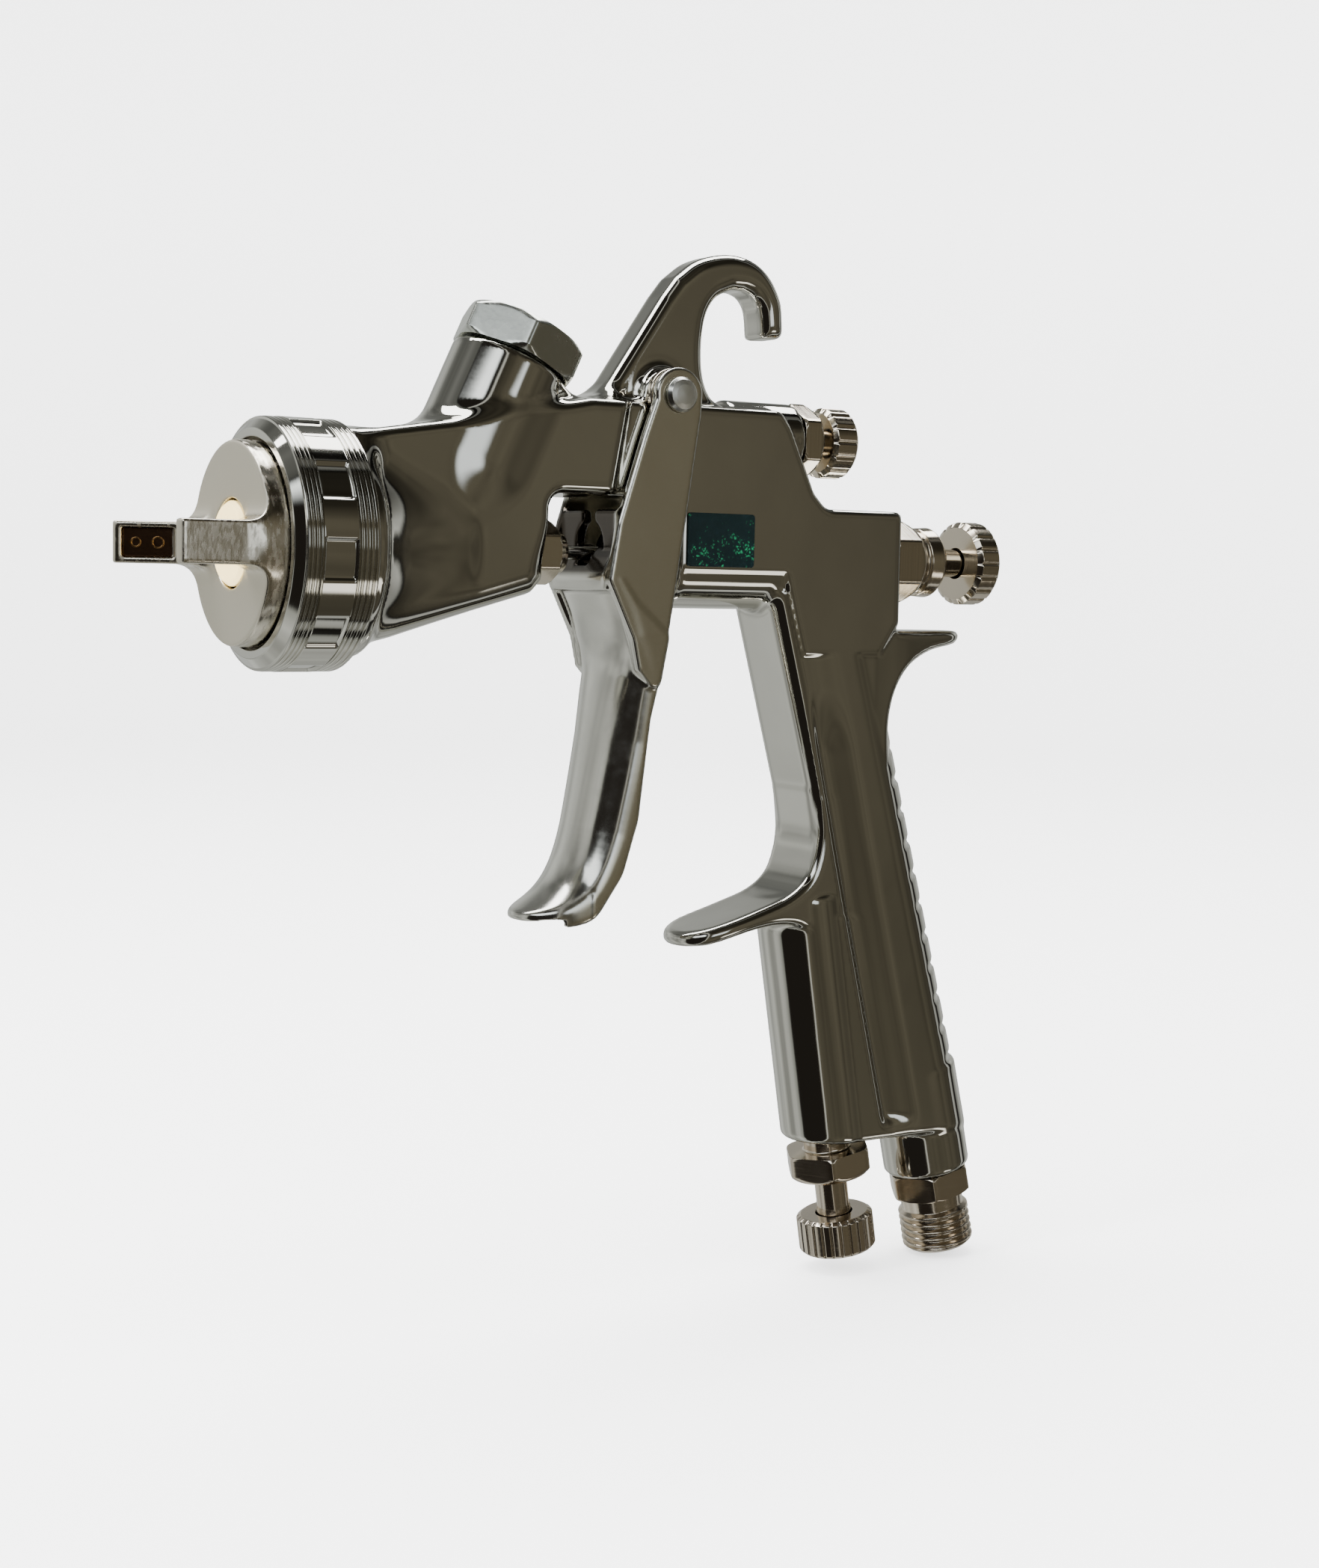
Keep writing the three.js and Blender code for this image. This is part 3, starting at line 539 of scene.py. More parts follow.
def foil_finish():
    """Dark holographic foil: deep teal, with green glints painted into its colour on fine cells."""
    made = metal("label foil", (0.003, 0.013, 0.015), 0.3, wear=0.1, grain=0.3, scale=1500, tint=0.4,
                 metallic=0.6)
    tree = made.node_tree
    shader = tree.nodes["Principled BSDF"].inputs
    shader["Coat Weight"].default_value = 0.3
    shader["Coat Roughness"].default_value = 0.12
    place = node(tree, "TexCoord").outputs["Object"]
    # Painted glints: green colour laid over the foil on fine cells, where a broad noise allows.
    cells = node(tree, "TexVoronoi", Vector=place, Scale=3600.0)
    area = node(tree, "TexNoise", Vector=place, Scale=260.0, Detail=2.0)
    painted_glint = node(tree, "SeparateColor", Color=cells.outputs["Color"])
    painted_glint_spots = combined(tree, "MULTIPLY", painted_glint.outputs["Red"], area.outputs["Fac"])
    overlay(made, remap(tree, painted_glint_spots, 0.50, 0.64), (0.01, 0.20, 0.08))
    return made


ALONG_X, ALONG_Z = (4, 0.12, 0.12), (0.12, 0.12, 4)
plated = metal("mirror plating", (0.62, 0.61, 0.56), 0.04, scale=400, swell=0.35)
plated_ring = metal("plated ring", (0.60, 0.59, 0.54), 0.035, wear=0.04, grain=0.012, scale=600,
                    stretch=ALONG_X)
plated_trigger = metal("plated trigger", (0.68, 0.67, 0.62), 0.13, wear=0.08, grain=0.03, scale=500,
                       marks=0.05, swell=0.4)
worn = {"wear": 0.07, "grain": 0.06, "scale": 700, "marks": 0.05}
nickel = metal("warm nickel", (0.70, 0.63, 0.52), 0.10, stretch=ALONG_X, **worn)
nickel_down = metal("warm nickel, hanging", (0.74, 0.66, 0.55), 0.11, stretch=ALONG_Z, tilt=11, **worn)
satin = metal("satin nickel", (0.66, 0.68, 0.63), 0.2, wear=0.08, grain=0.03, marks=0.06, swell=0.2)
steel = metal("ground steel", (0.74, 0.74, 0.73), 0.12, wear=0.06, grain=0.06, scale=800, stretch=ALONG_X)
spring_wire = metal("spring wire", (0.60, 0.60, 0.61), 0.25, wear=0.1, grain=0.15)
jet_brass = metal("jet brass", (0.50, 0.29, 0.12), 0.22, wear=0.12, grain=0.1)
fine_turned = {"wear": 0.12, "grain": 0.1, "scale": 700, "stretch": ALONG_X}
brass = metal("turned brass", (0.80, 0.55, 0.22), 0.2, **fine_turned)
dark_brass = metal("plated brass seat", (0.30, 0.28, 0.24), 0.2, **fine_turned)
stained = metal("stained brass", (0.09, 0.05, 0.03), 0.3, wear=0.15, grain=0.2, tint=0.4)
cap_metal = metal("air cap metal", (0.78, 0.73, 0.62), 0.13, wear=0.1, grain=0.1, stretch=(1.5, 0.6, 0.6),
                  marks=0.3)
blasted(cap_metal, "X", (0.55, 0.9), (0.86, 0.81, 0.69), 0.55)
blasted(plated_trigger, "Y", (0.93, 0.985), (0.74, 0.70, 0.57), 0.27)
# Painted shade: the trigger's cross plate and arm tops are darkened inside the window behind the needle.
painted_shade_box(plated_trigger, {"X": (57, 67.5), "Y": (-8.6, 12), "Z": (-3.4, 9)}, 0.7, (0.07, 0.06, 0.05))
stud_metal = metal("stud steel", (0.70, 0.70, 0.66), 0.2, wear=0.08, grain=0.05)
blasted(stud_metal, "Y", (0.7, 0.95), (0.80, 0.80, 0.75), 0.42)
cream = plastic("cream insert", (0.88, 0.68, 0.30), 0.42)
seal = plastic("white seal", (0.88, 0.87, 0.84), 0.5)
foil = foil_finish()


def shell_piece(name, field, low, high, steps, material, body, part):
    verts, quads, normals = mesh_of(field, low, high, steps[1])
    finish_piece(name, verts, quads, material, body, [part], normals)


shell_piece("casting", casting_field, (7, -18.6, -127), (146, 18.6, 52.5), (0.6, 0.5),
            plated, "gun", "gun_body")


# ---- Turned pieces ----
def vectors(*rows):
    return [np.array(row, float) for row in rows]


def axis_at(x, z, across, along):
    """An axis through (x, z), along (across, along) in the X-Z plane, as (origin, axis, side, up)."""
    size = math.hypot(across, along)
    a, b = across / size, along / size
    return vectors((x, 0, z), (a, 0, b), (0, -1, 0), (-b, 0, a))


def leaning(tilt):
    return math.sin(math.radians(tilt)), math.cos(math.radians(tilt))


NEEDLE = axis_at(0, 0, 1, 0)
PATTERN = axis_at(0, PATTERN_Z, 1, 0)
INLET = axis_at(INLET_X, 0, *leaning(INLET_TILT))
AIR = axis_at(*AIR_AT, *leaning(180 - AIR_TILT))
NIPPLE = axis_at(*NIPPLE_AT, *leaning(180 - NIPPLE_TILT))
ACROSS = vectors((PIVOT[0], 0, PIVOT[1]), (0, 1, 0), (1, 0, 0), (0, 0, 1))


def spaced(line, step):
    """An outline's points, with more of them wherever two are further apart than step."""
    out = [line[0]]
    for a, b in zip(line[:-1], line[1:]):
        pieces = max(1, int(math.ceil(np.linalg.norm(b - a) / step)))
        out += [a + (b - a) * i / pieces for i in range(1, pieces + 1)]
    return np.array(out)


def areas(verts, faces):
    """Each face's area as a vector along its normal, and its middle."""
    quads = np.array([f if len(f) == 4 else (*f, f[-1]) for f in faces])
    p = verts[quads]
    return quads, np.cross(p[:, 2] - p[:, 0], p[:, 3] - p[:, 1]) / 2, p.mean(axis=1)


def even_normals(verts, faces):
    """Normals weighted by area, so that flat faces stay flat up to their rounded edges."""
    quads, area, _ = areas(verts, faces)
    total = np.zeros_like(verts)
    for corner in range(4):
        np.add.at(total, quads[:, corner], area)
    return total / np.maximum(np.linalg.norm(total, axis=1), 1e-12)[:, None]


def turned_mesh(profile, axis, shape=None, count=96, step=None):
    """Turns (distance, radius, corner radius) points about an axis; shape cuts flats or flutes."""
    at, along, side, up = axis
    line = rounded(profile, 4)
    solid = profile[0][1] == 0
    if not solid:
        line = np.vstack([line, line[:1]])
    if step:
        line = spaced(line, step)
    if not solid:
        line = line[:-1]
    angle = np.arange(count) * 2 * math.pi / count
    s, r = line[:, :1] + 0 * angle, line[:, 1:2] + 0 * angle
    if shape:
        r = shape(s, np.broadcast_to(angle, s.shape), r)
    outward = (r * np.cos(angle))[..., None] * side
    verts = at + s[..., None] * along + outward + (r * np.sin(angle))[..., None] * up
    rows = len(line)
    if solid:
        verts = np.vstack([verts[0, :1], verts[1:-1].reshape(-1, 3), verts[-1, :1]])
    else:
        verts = verts.reshape(-1, 3)
    if solid:
        ring, last, rim = range(count), len(verts) - 1, 1 + (rows - 3) * count
        faces = [(0, 1 + i, 1 + (i + 1) % count) for i in ring] + strips(rows - 2, count, 1)
        faces += [(rim + i, last, rim + (i + 1) % count) for i in ring]
    else:
        faces = strips(rows, count, closed=True)
    _, area, middle = areas(verts, faces)
    if (area * (middle - verts.mean(axis=0))).sum() < 0:
        faces = [f[::-1] for f in faces]
    return verts, faces


def turned(name, profile, axis=NEEDLE, material=nickel, body="gun", shape=None, count=96,
           step=None):
    """A turned piece that stands for the CAD node of its own name."""
    verts, faces = turned_mesh(profile, axis, shape, count, step)
    normals = even_normals(verts, faces)
    finish_piece(name.replace("_", "-"), verts, faces, material, body, [name], normals)


def pipe(start, end, radius, bore, edge=0.3):
    """The profile of a plain tube with rounded rims."""
    return [(start, bore, edge / 2), (start, radius, edge), (end, radius, edge), (end, bore, edge / 2)]


def hexagonal(start, end, corner_radius, turn=0.0, soft=0.35):
    """Flats that turn the profile into a hexagon between start and end."""
    flat = corner_radius * math.cos(math.radians(30))

    def shape(s, angle, r):
        off = (angle - math.radians(turn) + math.pi / 6) % (math.pi / 3) - math.pi / 6
        here = (s > start - 1e-6) & (s < end + 1e-6) & (r > 0.75 * flat)
        return np.where(here, smooth_min(r, flat / np.cos(off), soft), r)
    return shape


def fluted(start, end, radius, count, depth=0.42, share=0.3):
    """Narrow round grooves along a knob, with broad lands between them."""
    def shape(s, angle, r):
        phase = np.abs((angle * count / (2 * math.pi)) % 1 - 0.5) * 2
        groove = 1 - ramp(0, share, 1 - phase)
        here = ramp(radius - 1.5, radius - 0.2, r) * (s >= start - 1e-6) * (s <= end + 1e-6)
        return r - depth * groove * here
    return shape


def knob(name, axis, start, length, radius, bore, flutes, material, body, chamfer=0.7):
    """A fluted knob with bevelled rims, a flat face towards the gun and a dished end."""
    end = start + length
    profile = [
        (end - 1.5, 0), (end - 1.5, bore), (start, bore, 0.1), (start, radius - chamfer - 0.3, 0.25),
        (start + chamfer, radius, 0.3), (end - chamfer, radius, 0.3), (end, radius - chamfer, 0.3),
        (end, radius - 2.2, 0.2), (end - 0.4, radius - 2.8, 0.3), (end - 0.4, 0)]
    grip = fluted(start + 0.1, end - 0.1, radius, flutes)
    turned(name, profile, axis, material, body, shape=grip, count=flutes * 12, step=0.7)


def coil(name, start, end, radius, wire, turns):
    """A spring of round wire with closed ends, along the needle's axis."""
    per_turn, sides = 28, 8
    t = np.linspace(0, 1, turns * per_turn + 1)
    angle = t * turns * 2 * math.pi
    pace = ramp(0, 1.2 / turns, t) * (1 - ramp(1 - 1.2 / turns, 1, t))
    closed = 2 * wire / (end - start - 2 * wire)
    advance = np.cumsum(closed / turns + pace)
    share = (advance - advance[0]) / (advance[-1] - advance[0])
    x = start + wire + share * (end - start - 2 * wire)
    centre = np.stack([x, -radius * np.cos(angle), radius * np.sin(angle)], 1)
    tangent = np.gradient(centre, axis=0)
    tangent /= np.linalg.norm(tangent, axis=1)[:, None]
    out = np.stack([0 * x, -np.cos(angle), np.sin(angle)], 1)
    over = np.cross(tangent, out)
    spin = np.arange(sides) * 2 * math.pi / sides
    around = np.cos(spin)[None, :, None] * out[:, None] + np.sin(spin)[None, :, None] * over[:, None]
    verts = (centre[:, None] + wire * around).reshape(-1, 3)
    faces = strips(len(t), sides, flip=True)
    faces.append(tuple(reversed(range(sides))))
    faces.append(tuple(len(verts) - sides + i for i in range(sides)))
    made = finish_piece(name.replace("_", "-"), verts, faces, spring_wire, "gun", [name])
    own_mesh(made)


# ---- Air cap and nozzle ----
CAP_R, RING_R = 15.8, 19.5
PADS, PAD_TURN = 10, 11.5
# The inner face of each horn, as (x, distance from the axis) at its foot and at its tip.
HORN_FOOT, HORN_TIP = (-4.6, 8.7), (-13.6, 13.3)


def cap_ring():
    """The knurled ring that holds the air cap: fine ridges in front and behind, and raised pads between."""
    face = RING_R - 0.05
    profile = [(RING_FRONT, 16.2, 0.2), (RING_FRONT, 17.5, 0.4), (4.25, 18.95, 0.25), (4.3, 19.3, 0.15)]

    def grooves(places):
        for at in places:
            profile.extend([(at - 0.24, face, 0.1), (at, face - 0.42, 0.08), (at + 0.24, face, 0.1)])
    grooves((4.75, 5.5, 6.25, 6.85))
    profile.extend([(at, RING_R) for at in (7.0, 7.15, 7.3, 7.5, 12.0, 12.2, 12.35, 12.5)])
    grooves((12.65, 13.4, 14.3, 15.2))
    profile.extend([(15.9, face, 0.3), (16.4, 18.6, 0.2), (16.4, 17.9, 0.1), (4.4, 17.9), (4.4, 16.2, 0.1)])

    def shape(s, angle, r):
        period = 2 * math.pi / PADS
        off = np.abs((angle - math.radians(PAD_TURN) + period / 2) % period - period / 2)
        recess = ramp(math.radians(8.8), math.radians(9.5), off)
        recess = recess * ramp(7.05, 7.35, s) * (1 - ramp(12.15, 12.45, s))
        return r - 0.5 * recess * (r > 18.7)
    turned("cap_ring", profile, NEEDLE, plated_ring, "cap_ring", shape, count=400)


def cap_field(x, y, z):
    profile = rounded([
        (0, 6.85, 0.2), (0, CAP_R, 0.7), (4.7, CAP_R, 0.2), (4.7, 17.5, 0.3), (6.2, 17.5, 0.2), (6.2, 14.4),
        (2.4, 12), (2.4, 6.85)])
    shell = inside(profile, x, np.hypot(y, z))
    across = np.abs(y)
    plan = rounded([
        (3, 15.35), (-13.2, 15.1, 0.5), (*HORN_TIP, 0.4), (*HORN_FOOT, 1.5), (-2, 8.2), (3, 7.7)])
    horn = prism(inside(plan, x, across), z, 3.25, 0.35)
    flare = smooth_min(shell, horn, 3.6)
    rim = smooth_max(flare, np.hypot(y, z) - CAP_R - 1.7 * ramp(4.6, 4.8, x), 0.4)
    pocket_plan = rounded([(-5.5, 8.6, 0.3), (-12.6, 12.3, 0.3), (-12.2, 13.9, 0.2), (-5.1, 10.2, 0.2)])
    pocket = prism(inside(pocket_plan, x, across), z, 2.3, 0.25)
    return smooth_max(rim, -pocket, 0.15)


def air_cap():
    """The cap, and in the inner face of each horn a dark pocket with two brass jets."""
    shell_piece("air-cap", cap_field, (-14.6, -18.3, -18.3), (7.2, 18.3, 18.3), (0.4, 0.28),
                cap_metal, "air_cap", "air_cap")
    slope = (HORN_TIP[1] - HORN_FOOT[1]) / (HORN_FOOT[0] - HORN_TIP[0])
    size = math.hypot(1, slope)
    up = np.array([0, 0, 1.0])
    lining = panel(-3.7, 3.7, -2.15, 2.15, 0.3, 4)
    for side, hand in ((-1, "left"), (1, "right")):
        along = np.array([-slope, -side, 0]) / size
        across = np.array([-1, side * slope, 0]) / size
        floor_at = np.array([-8.65, side * 12.06, 0]) + 0.02 * along
        plate(f"horn-pocket-{hand}", lining, (floor_at, along, across, up), 0.25, 0.08,
              stained, "air_cap", [])
        for number, x, radius in ((1, -7.6, 1.0), (2, -10.6, 0.85)):
            y = side * (HORN_FOOT[1] + slope * (HORN_FOOT[0] - x) + 1.05)
            axis = (np.array([x + 0.35, y, 0]), along, np.cross(along, up), up)
            jet = [(-1.2, 0), (-1.2, radius, 0.1), (0.25, radius, 0.12), (0.25, radius - 0.3, 0.1),
                   (-0.9, radius - 0.35), (-0.9, 0)]
            verts, faces = turned_mesh(jet, axis, count=32)
            finish_piece(f"horn-jet-{hand}-{number}", verts, faces, jet_brass, "air_cap", [],
                         even_normals(verts, faces))


def nozzle_end():
    turned("cap_centre_ring", [
        (2.1, 2.6), (-0.1, 2.6, 0.2), (-0.55, 3.2, 0.3), (-0.55, 5.9, 0.5), (0.15, 6.5, 0.3),
        (2.1, 6.5, 0.1)], NEEDLE, cream, "air_cap")
    wire, around = 0.4, np.linspace(0, 5.76, 12)
    turned("cap_snap_ring", [(7 + wire * math.cos(a), 17.15 + wire * math.sin(a)) for a in around],
           NEEDLE, spring_wire, "cap_carrier")
    turned("fluid_nozzle", [
        (-0.9, 0.8, 0.1), (-0.9, 1.3, 0.2), (1.4, 2.2, 0.4), (6.2, 3, 0.3), (6.2, 6, 0.3), (8.8, 6, 0.2),
        (8.8, 4.6), (22, 4.6, 0.2), (22, 2.4), (4, 2.4), (2.6, 1.5)], NEEDLE, steel)
    turned("fluid_needle", [
        (-0.6, 0), (-0.5, 0.12, 0.1), (3.4, 1.2, 0.4), (119.5, 1.2, 0.2), (119.5, 0)],
        NEEDLE, steel, "needle", count=32, step=6)


# ---- Needle line ----
def needle_line():
    turned("needle_packing", pipe(44, 48, 3.2, 1.6, 0.2), NEEDLE, seal)
    turned("packing_nut", [
        (48.4, 1.7), (48.4, 3.2, 0.2), (50.9, 3.2), (50.9, 5.0, 0.2), (51.3, 5.4, 0.15), (54.8, 5.4, 0.15),
        (55.2, 4.9, 0.2), (55.4, 3.7, 0.2), (57.2, 3.4, 0.4), (57.2, 1.7, 0.2)],
        shape=hexagonal(50.9, 55.25, 5.4, soft=0.2), step=0.5)
    lip, shoulder = WINDOW[1] - 1.5, WINDOW[1] - 0.3
    turned("valve_seat", [
        (lip, 3, 0.2), (lip, 7.4, 0.4), (shoulder, 7.4, 0.1), (shoulder, 5.9), (86.6, 5.9, 0.2),
        (86.6, 3, 0.2)], NEEDLE, dark_brass)
    collar, gap, stem_travel, needle_travel = 106.1, 0.3, 6.35, 4.5
    end = collar - gap - stem_travel + needle_travel
    turned("valve_stem", [
        (66.4, 1.6, 0.2), (66.4, 4.2, 0.4), (67.4, 4.2, 0.3), (67.9, 2.6, 0.3), (86.9, 2.6, 0.1),
        (86.9, 5.5, 0.3), (89.4, 5.5, 0.3), (89.4, 2.6, 0.1), (end, 2.6, 0.3), (end, 1.6, 0.1)], NEEDLE,
        steel, "valve_stem")
    turned("needle_collar", pipe(collar, 112, 4, 1.5, 0.5), NEEDLE, brass, "needle")
    coil("valve_spring", 89.8, 103.5, 4.9, 0.45, 6)
    coil("needle_spring", 112.4, 126.4, 3.0, 0.4, 9)


# ---- Adjusters: each has a guide with a hexagon, a stem and a fluted knob ----
def fluid_adjuster():
    start, end, hexagon_end = 122.3, 134.4, 129.0
    turned("fluid_guide", [
        (103.9, 4.6), (103.9, 5.8, 0.3), (start, 5.8), (start, 6.7, 0.2), (start + 0.6, 7.4, 0.2),
        (hexagon_end - 1.3, 7.4, 0.2), (hexagon_end + 0.3, 5.9, 0.3), (130.3, 5.3, 0.5), (130.5, 6.1, 0.25),
        (133.1, 6.3, 0.5), (end, 5.1, 0.35), (end, 2.9, 0.2), (131.5, 2.9), (131.5, 4.6)],
        shape=hexagonal(start, hexagon_end + 0.6, 7.4), count=120, step=0.5)
    knob_start, knob_end = 140.3, 145.3
    stem_end = knob_end - 1.9
    turned("fluid_stem", [
        (126.8, 0), (126.8, 4.1, 0.2), (128.2, 4.1, 0.2), (128.2, 2.5), (stem_end, 2.5), (stem_end, 0)],
        body="fluid_screw", count=48)
    knob("fluid_knob", NEEDLE, knob_start, knob_end - knob_start, 7.5, 2.8, 18, nickel, "fluid_knob")


def pattern_adjuster():
    turned("pattern_guide", [
        (94, 2.6), (94, 4.9, 0.2), (102.3, 4.9), (102.3, 6.1, 0.2), (102.8, 6.6, 0.2), (105.5, 6.6, 0.2),
        (106.2, 5.7, 0.2), (106.2, 2.6, 0.2)], PATTERN, shape=hexagonal(102.3, 106.25, 6.6), count=120,
        step=0.5)
    turned("pattern_stem", [
        (74, 0), (77, 2.2, 0.4), (111.7, 2.2, 0.2), (111.7, 0)], PATTERN, body="pattern_screw", count=48)
    knob("pattern_knob", PATTERN, 108.5, 5.1, 6.1, 2.5, 14, nickel, "pattern_knob", 0.6)


def air_adjuster():
    turned("air_guide", [
        (-24, 3.4), (-24, 4.1, 0.2), (-12.2, 4.1), (-12.2, 7.7, 0.2), (-11.6, 8.2, 0.2), (-8.6, 8.2, 0.2),
        (-7.4, 6.9, 0.25), (-7.4, 3.4, 0.2)], AIR, nickel_down, shape=hexagonal(-12.2, -7.35, 8.2),
        count=120, step=0.5)
    turned("air_stem", [
        (-40, 0), (-37, 3.1, 0.5), (-7.4, 3.1), (-6.9, 2.95, 0.1), (-1.2, 2.95), (-0.9, 3.1), (4.9, 3.1),
        (4.9, 0)], AIR, nickel_down, "air_screw", count=64)
    knob("air_knob", AIR, 0, 6.8, 6.95, 3.4, 26, nickel_down, "air_knob", 0.55)


# ---- Fittings ----
def air_nipple():
    """The hose nipple: a hexagon, a neck and a pipe thread."""
    pitch, thread_start, end = 1.337, 8.4, 15.3

    def shape(s, angle, r):
        r = hexagonal(0.3, 5.1, 7.9, soft=0.3)(s, angle, r)
        wave = np.abs(((s / pitch - angle / (2 * math.pi)) % 1) - 0.5) * 2
        here = ramp(thread_start, thread_start + 0.9, s) * (1 - ramp(end - 1.3, end - 0.5, s)) * (r > 5.4)
        return r - 0.85 * here * ramp(0.12, 0.88, wave)
    profile = [
        (-10, 4.2), (-10, 5.3, 0.2), (0.3, 5.3), (0.3, 7.4, 0.2), (0.8, 7.9, 0.2), (4.5, 7.9, 0.2),
        (5.0, 7.2, 0.2), (5.2, 5.8, 0.3), (7.7, 5.7, 0.2), (8.3, 6.5, 0.2), (14.6, 6.58, 0.2),
        (end, 5.8, 0.2), (end, 4.2, 0.4)]
    turned("air_nipple", profile, NIPPLE, nickel_down, shape=shape, count=120, step=0.14)


def fluid_inlet():
    """The cup's fitting: a threaded tail in the leaning tube and a hexagon with an open mouth."""
    tail, seat, low, high, corner = INLET_END - 7.5, INLET_END - 4, INLET_END + 0.3, INLET_END + 6.3, 11.0
    profile = [
        (tail, 3.4), (tail, 7.4, 0.2), (low, 7.4), (low, 10.0, 0.2), (low + 0.9, corner, 0.2),
        (high - 1.2, corner, 0.2), (high, 9.6, 0.25), (high, 6.9, 0.3), (high - 0.7, 6.2, 0.1), (seat, 6.2),
        (seat, 3.4)]
    turned("fluid_inlet", profile, INLET, satin,
           shape=hexagonal(low, high + 0.1, corner, turn=-13, soft=0.4), count=144, step=0.5)


# ---- Trigger ----
ARM_IN, ARM_OUT = 8.9, 10.6
EYE = np.radians(np.linspace(10, 190, 24))
arm_outline = rounded([
    *[(PIVOT[0] + 4.5 * math.cos(t), PIVOT[1] + 4.5 * math.sin(t)) for t in EYE],
    (66.8, 19, 3), (62.3, 5, 3), (60.7, -4.4, 1), (65.4, -14), (66.5, -19), (70.6, -23.5, 1.5),
    (73.8, -4, 4), (77.8, 23)])
lever_side = rounded([
    (52, -4.2), (63, -4.2), (66, -8), (72.6, -13.6, 1), (69.8, -27, 4), (68.2, -44, 8), (65.6, -53, 8),
    (60.6, -60.2, 6), (54.5, -61.9, 4), (46, -59.4), (44, -40)])
lip_plan = rounded([
    (80, -14), (61, -14), *curve(both_sides([(59.5, -8.6), (54, -6.8), (50.6, -3.8), (49.4, 0)])), (61, 14),
    (80, 14)])
nose_line = np.array([q[:2] for q in curve([
    (57.8, 1.6), (60.4, -4.2), (63.6, -11), (64.9, -17), (63.9, -24), (61.8, -36), (59.4, -47.5),
    (57.2, -53), (54.2, -56.4), (49.2, -59.2), (44, -61)])])


def nose_distance(x, z):
    """(distance behind the nose line of the trigger, height at the nearest point of that line)."""
    best = np.full(np.broadcast(x, z).shape, 1e9)
    side, height = np.zeros_like(best), np.zeros_like(best)
    for a, b in zip(nose_line[:-1], nose_line[1:]):
        e = b - a
        t = np.clip(((x - a[0]) * e[0] + (z - a[1]) * e[1]) / (e @ e), 0, 1)
        gap = np.hypot(x - a[0] - e[0] * t, z - a[1] - e[1] * t)
        near = gap < best
        best = np.where(near, gap, best)
        side = np.where(near, np.sign((x - a[0]) * -e[1] + (z - a[1]) * e[0]), side)
        height = np.where(near, a[1] + e[1] * t, height)
    return best * side, height


def archway(y, z, half, top):
    """An arched opening, half wide each side, whose crown is at z = top."""
    return np.where(z > top - half, np.hypot(y, z - top + half), np.abs(y)) - half


def trigger_field(x, y, z):
    """A bent sheet: a hollow lever with a lip, two arms, and a cross plate with an arched hole."""
    depth, height = nose_distance(x, z)
    levels = [-61, -58, -53, -45, -30, -20, -14, -4]
    half = np.interp(height, levels, [8.4, 8.6, 8.7, 9.0, 9.6, 10.2, ARM_OUT, ARM_OUT])
    deep = np.interp(height, levels, [3.2, 3.6, 5.2, 6.4, 6.8, 6.0, 3.6, 3.4])
    power = np.interp(height, levels, [2.1, 2.1, 2.1, 2.1, 2.2, 2.3, 2.6, 2.7])
    u, v = np.abs(y) / half, np.clip((deep - depth) / deep, 0, None)
    total = np.maximum(u ** power + v ** power, 1e-6)
    reach = total ** (1 / power)
    slope = total ** (1 / power - 1) * np.hypot(u ** (power - 1) / half, v ** (power - 1) / deep)
    skin = (reach - 1) / np.maximum(slope, 0.02)
    thick = 1.7
    shell = np.abs(skin + thick / 2) - thick / 2
    shell = smooth_max(shell, inside(lever_side, x, z), 0.8)
    shell = smooth_max(shell, inside(lip_plan, x, y) - 30 * ramp(-56, -47, z), 0.8)
    arm_half = (ARM_OUT - ARM_IN) / 2
    arms = prism(inside(arm_outline, x, z), np.abs(y) - (ARM_IN + ARM_OUT) / 2, arm_half, 0.45)
    roll = rounded([
        (60.6, -6), (60.6, -3.4, 1), (61.9, -0.6, 2), (64.1, 1.9, 2), (66.1, 0.8, 1), (65.8, -1.5, 1),
        (63.6, -2.8, 1), (63.2, -6)])
    pusher = prism(inside(roll, x, z), y, 9.4, 0.5)
    arch = rounded([(62.9, 0), (62.6, 7.2, 0.8), (64.4, 7.2, 0.8), (64.8, 0)])
    bridge = smooth_max(prism(inside(arch, x, z), y, 9.4, 0.4), -archway(y, z, 4.4, 5.6), 0.3)
    slot = smooth_max(np.abs(y) - 1.8, -1.9 - z, 0.4)
    pusher = smooth_max(np.minimum(pusher, bridge), -slot, 0.4)
    body = smooth_min(smooth_min(shell, arms, 0.7), pusher, 0.9)
    return smooth_max(body, 2.5 - from_pivot(x, z), 0.2)


def trigger():
    shell_piece("trigger-lever", trigger_field, (48.4, -11.4, -62.8), (79.2, 11.4, 31.6), (0.45, 0.33),
                plated_trigger, "trigger", "trigger")
    head, end, radius = ARM_OUT + 0.3, ARM_OUT + 1.6, 2.9
    turned("trigger_stud", [
        (-end, 0), (-end, 0.6), (-end + 0.1, 1.6, 0.6), (-end + 0.35, 2.4, 0.3), (-head - 0.3, radius, 0.3),
        (-head, radius, 0.1), (-head, 2.2), (ARM_OUT, 2.2, 0.2), (ARM_OUT, 1.3), (4, 1.3), (4, 0)], ACROSS,
        stud_metal, count=64)
    turned("trigger_screw", [
        (5, 0), (5, 1), (head, 1), (head, radius, 0.1), (head + 0.4, radius, 0.3), (end - 0.2, 2.3, 0.3),
        (end, 1.2), (end - 0.5, 1.0, 0.1), (end - 0.5, 0)], ACROSS, stud_metal, count=64)
    turned("pivot_washer_left", pipe(0.3 - ARM_IN, -7.1, 4.5, 2.5, 0.4), ACROSS)
    turned("pivot_washer_right", pipe(7.1, ARM_IN - 0.3, 4.5, 2.5, 0.4), ACROSS)


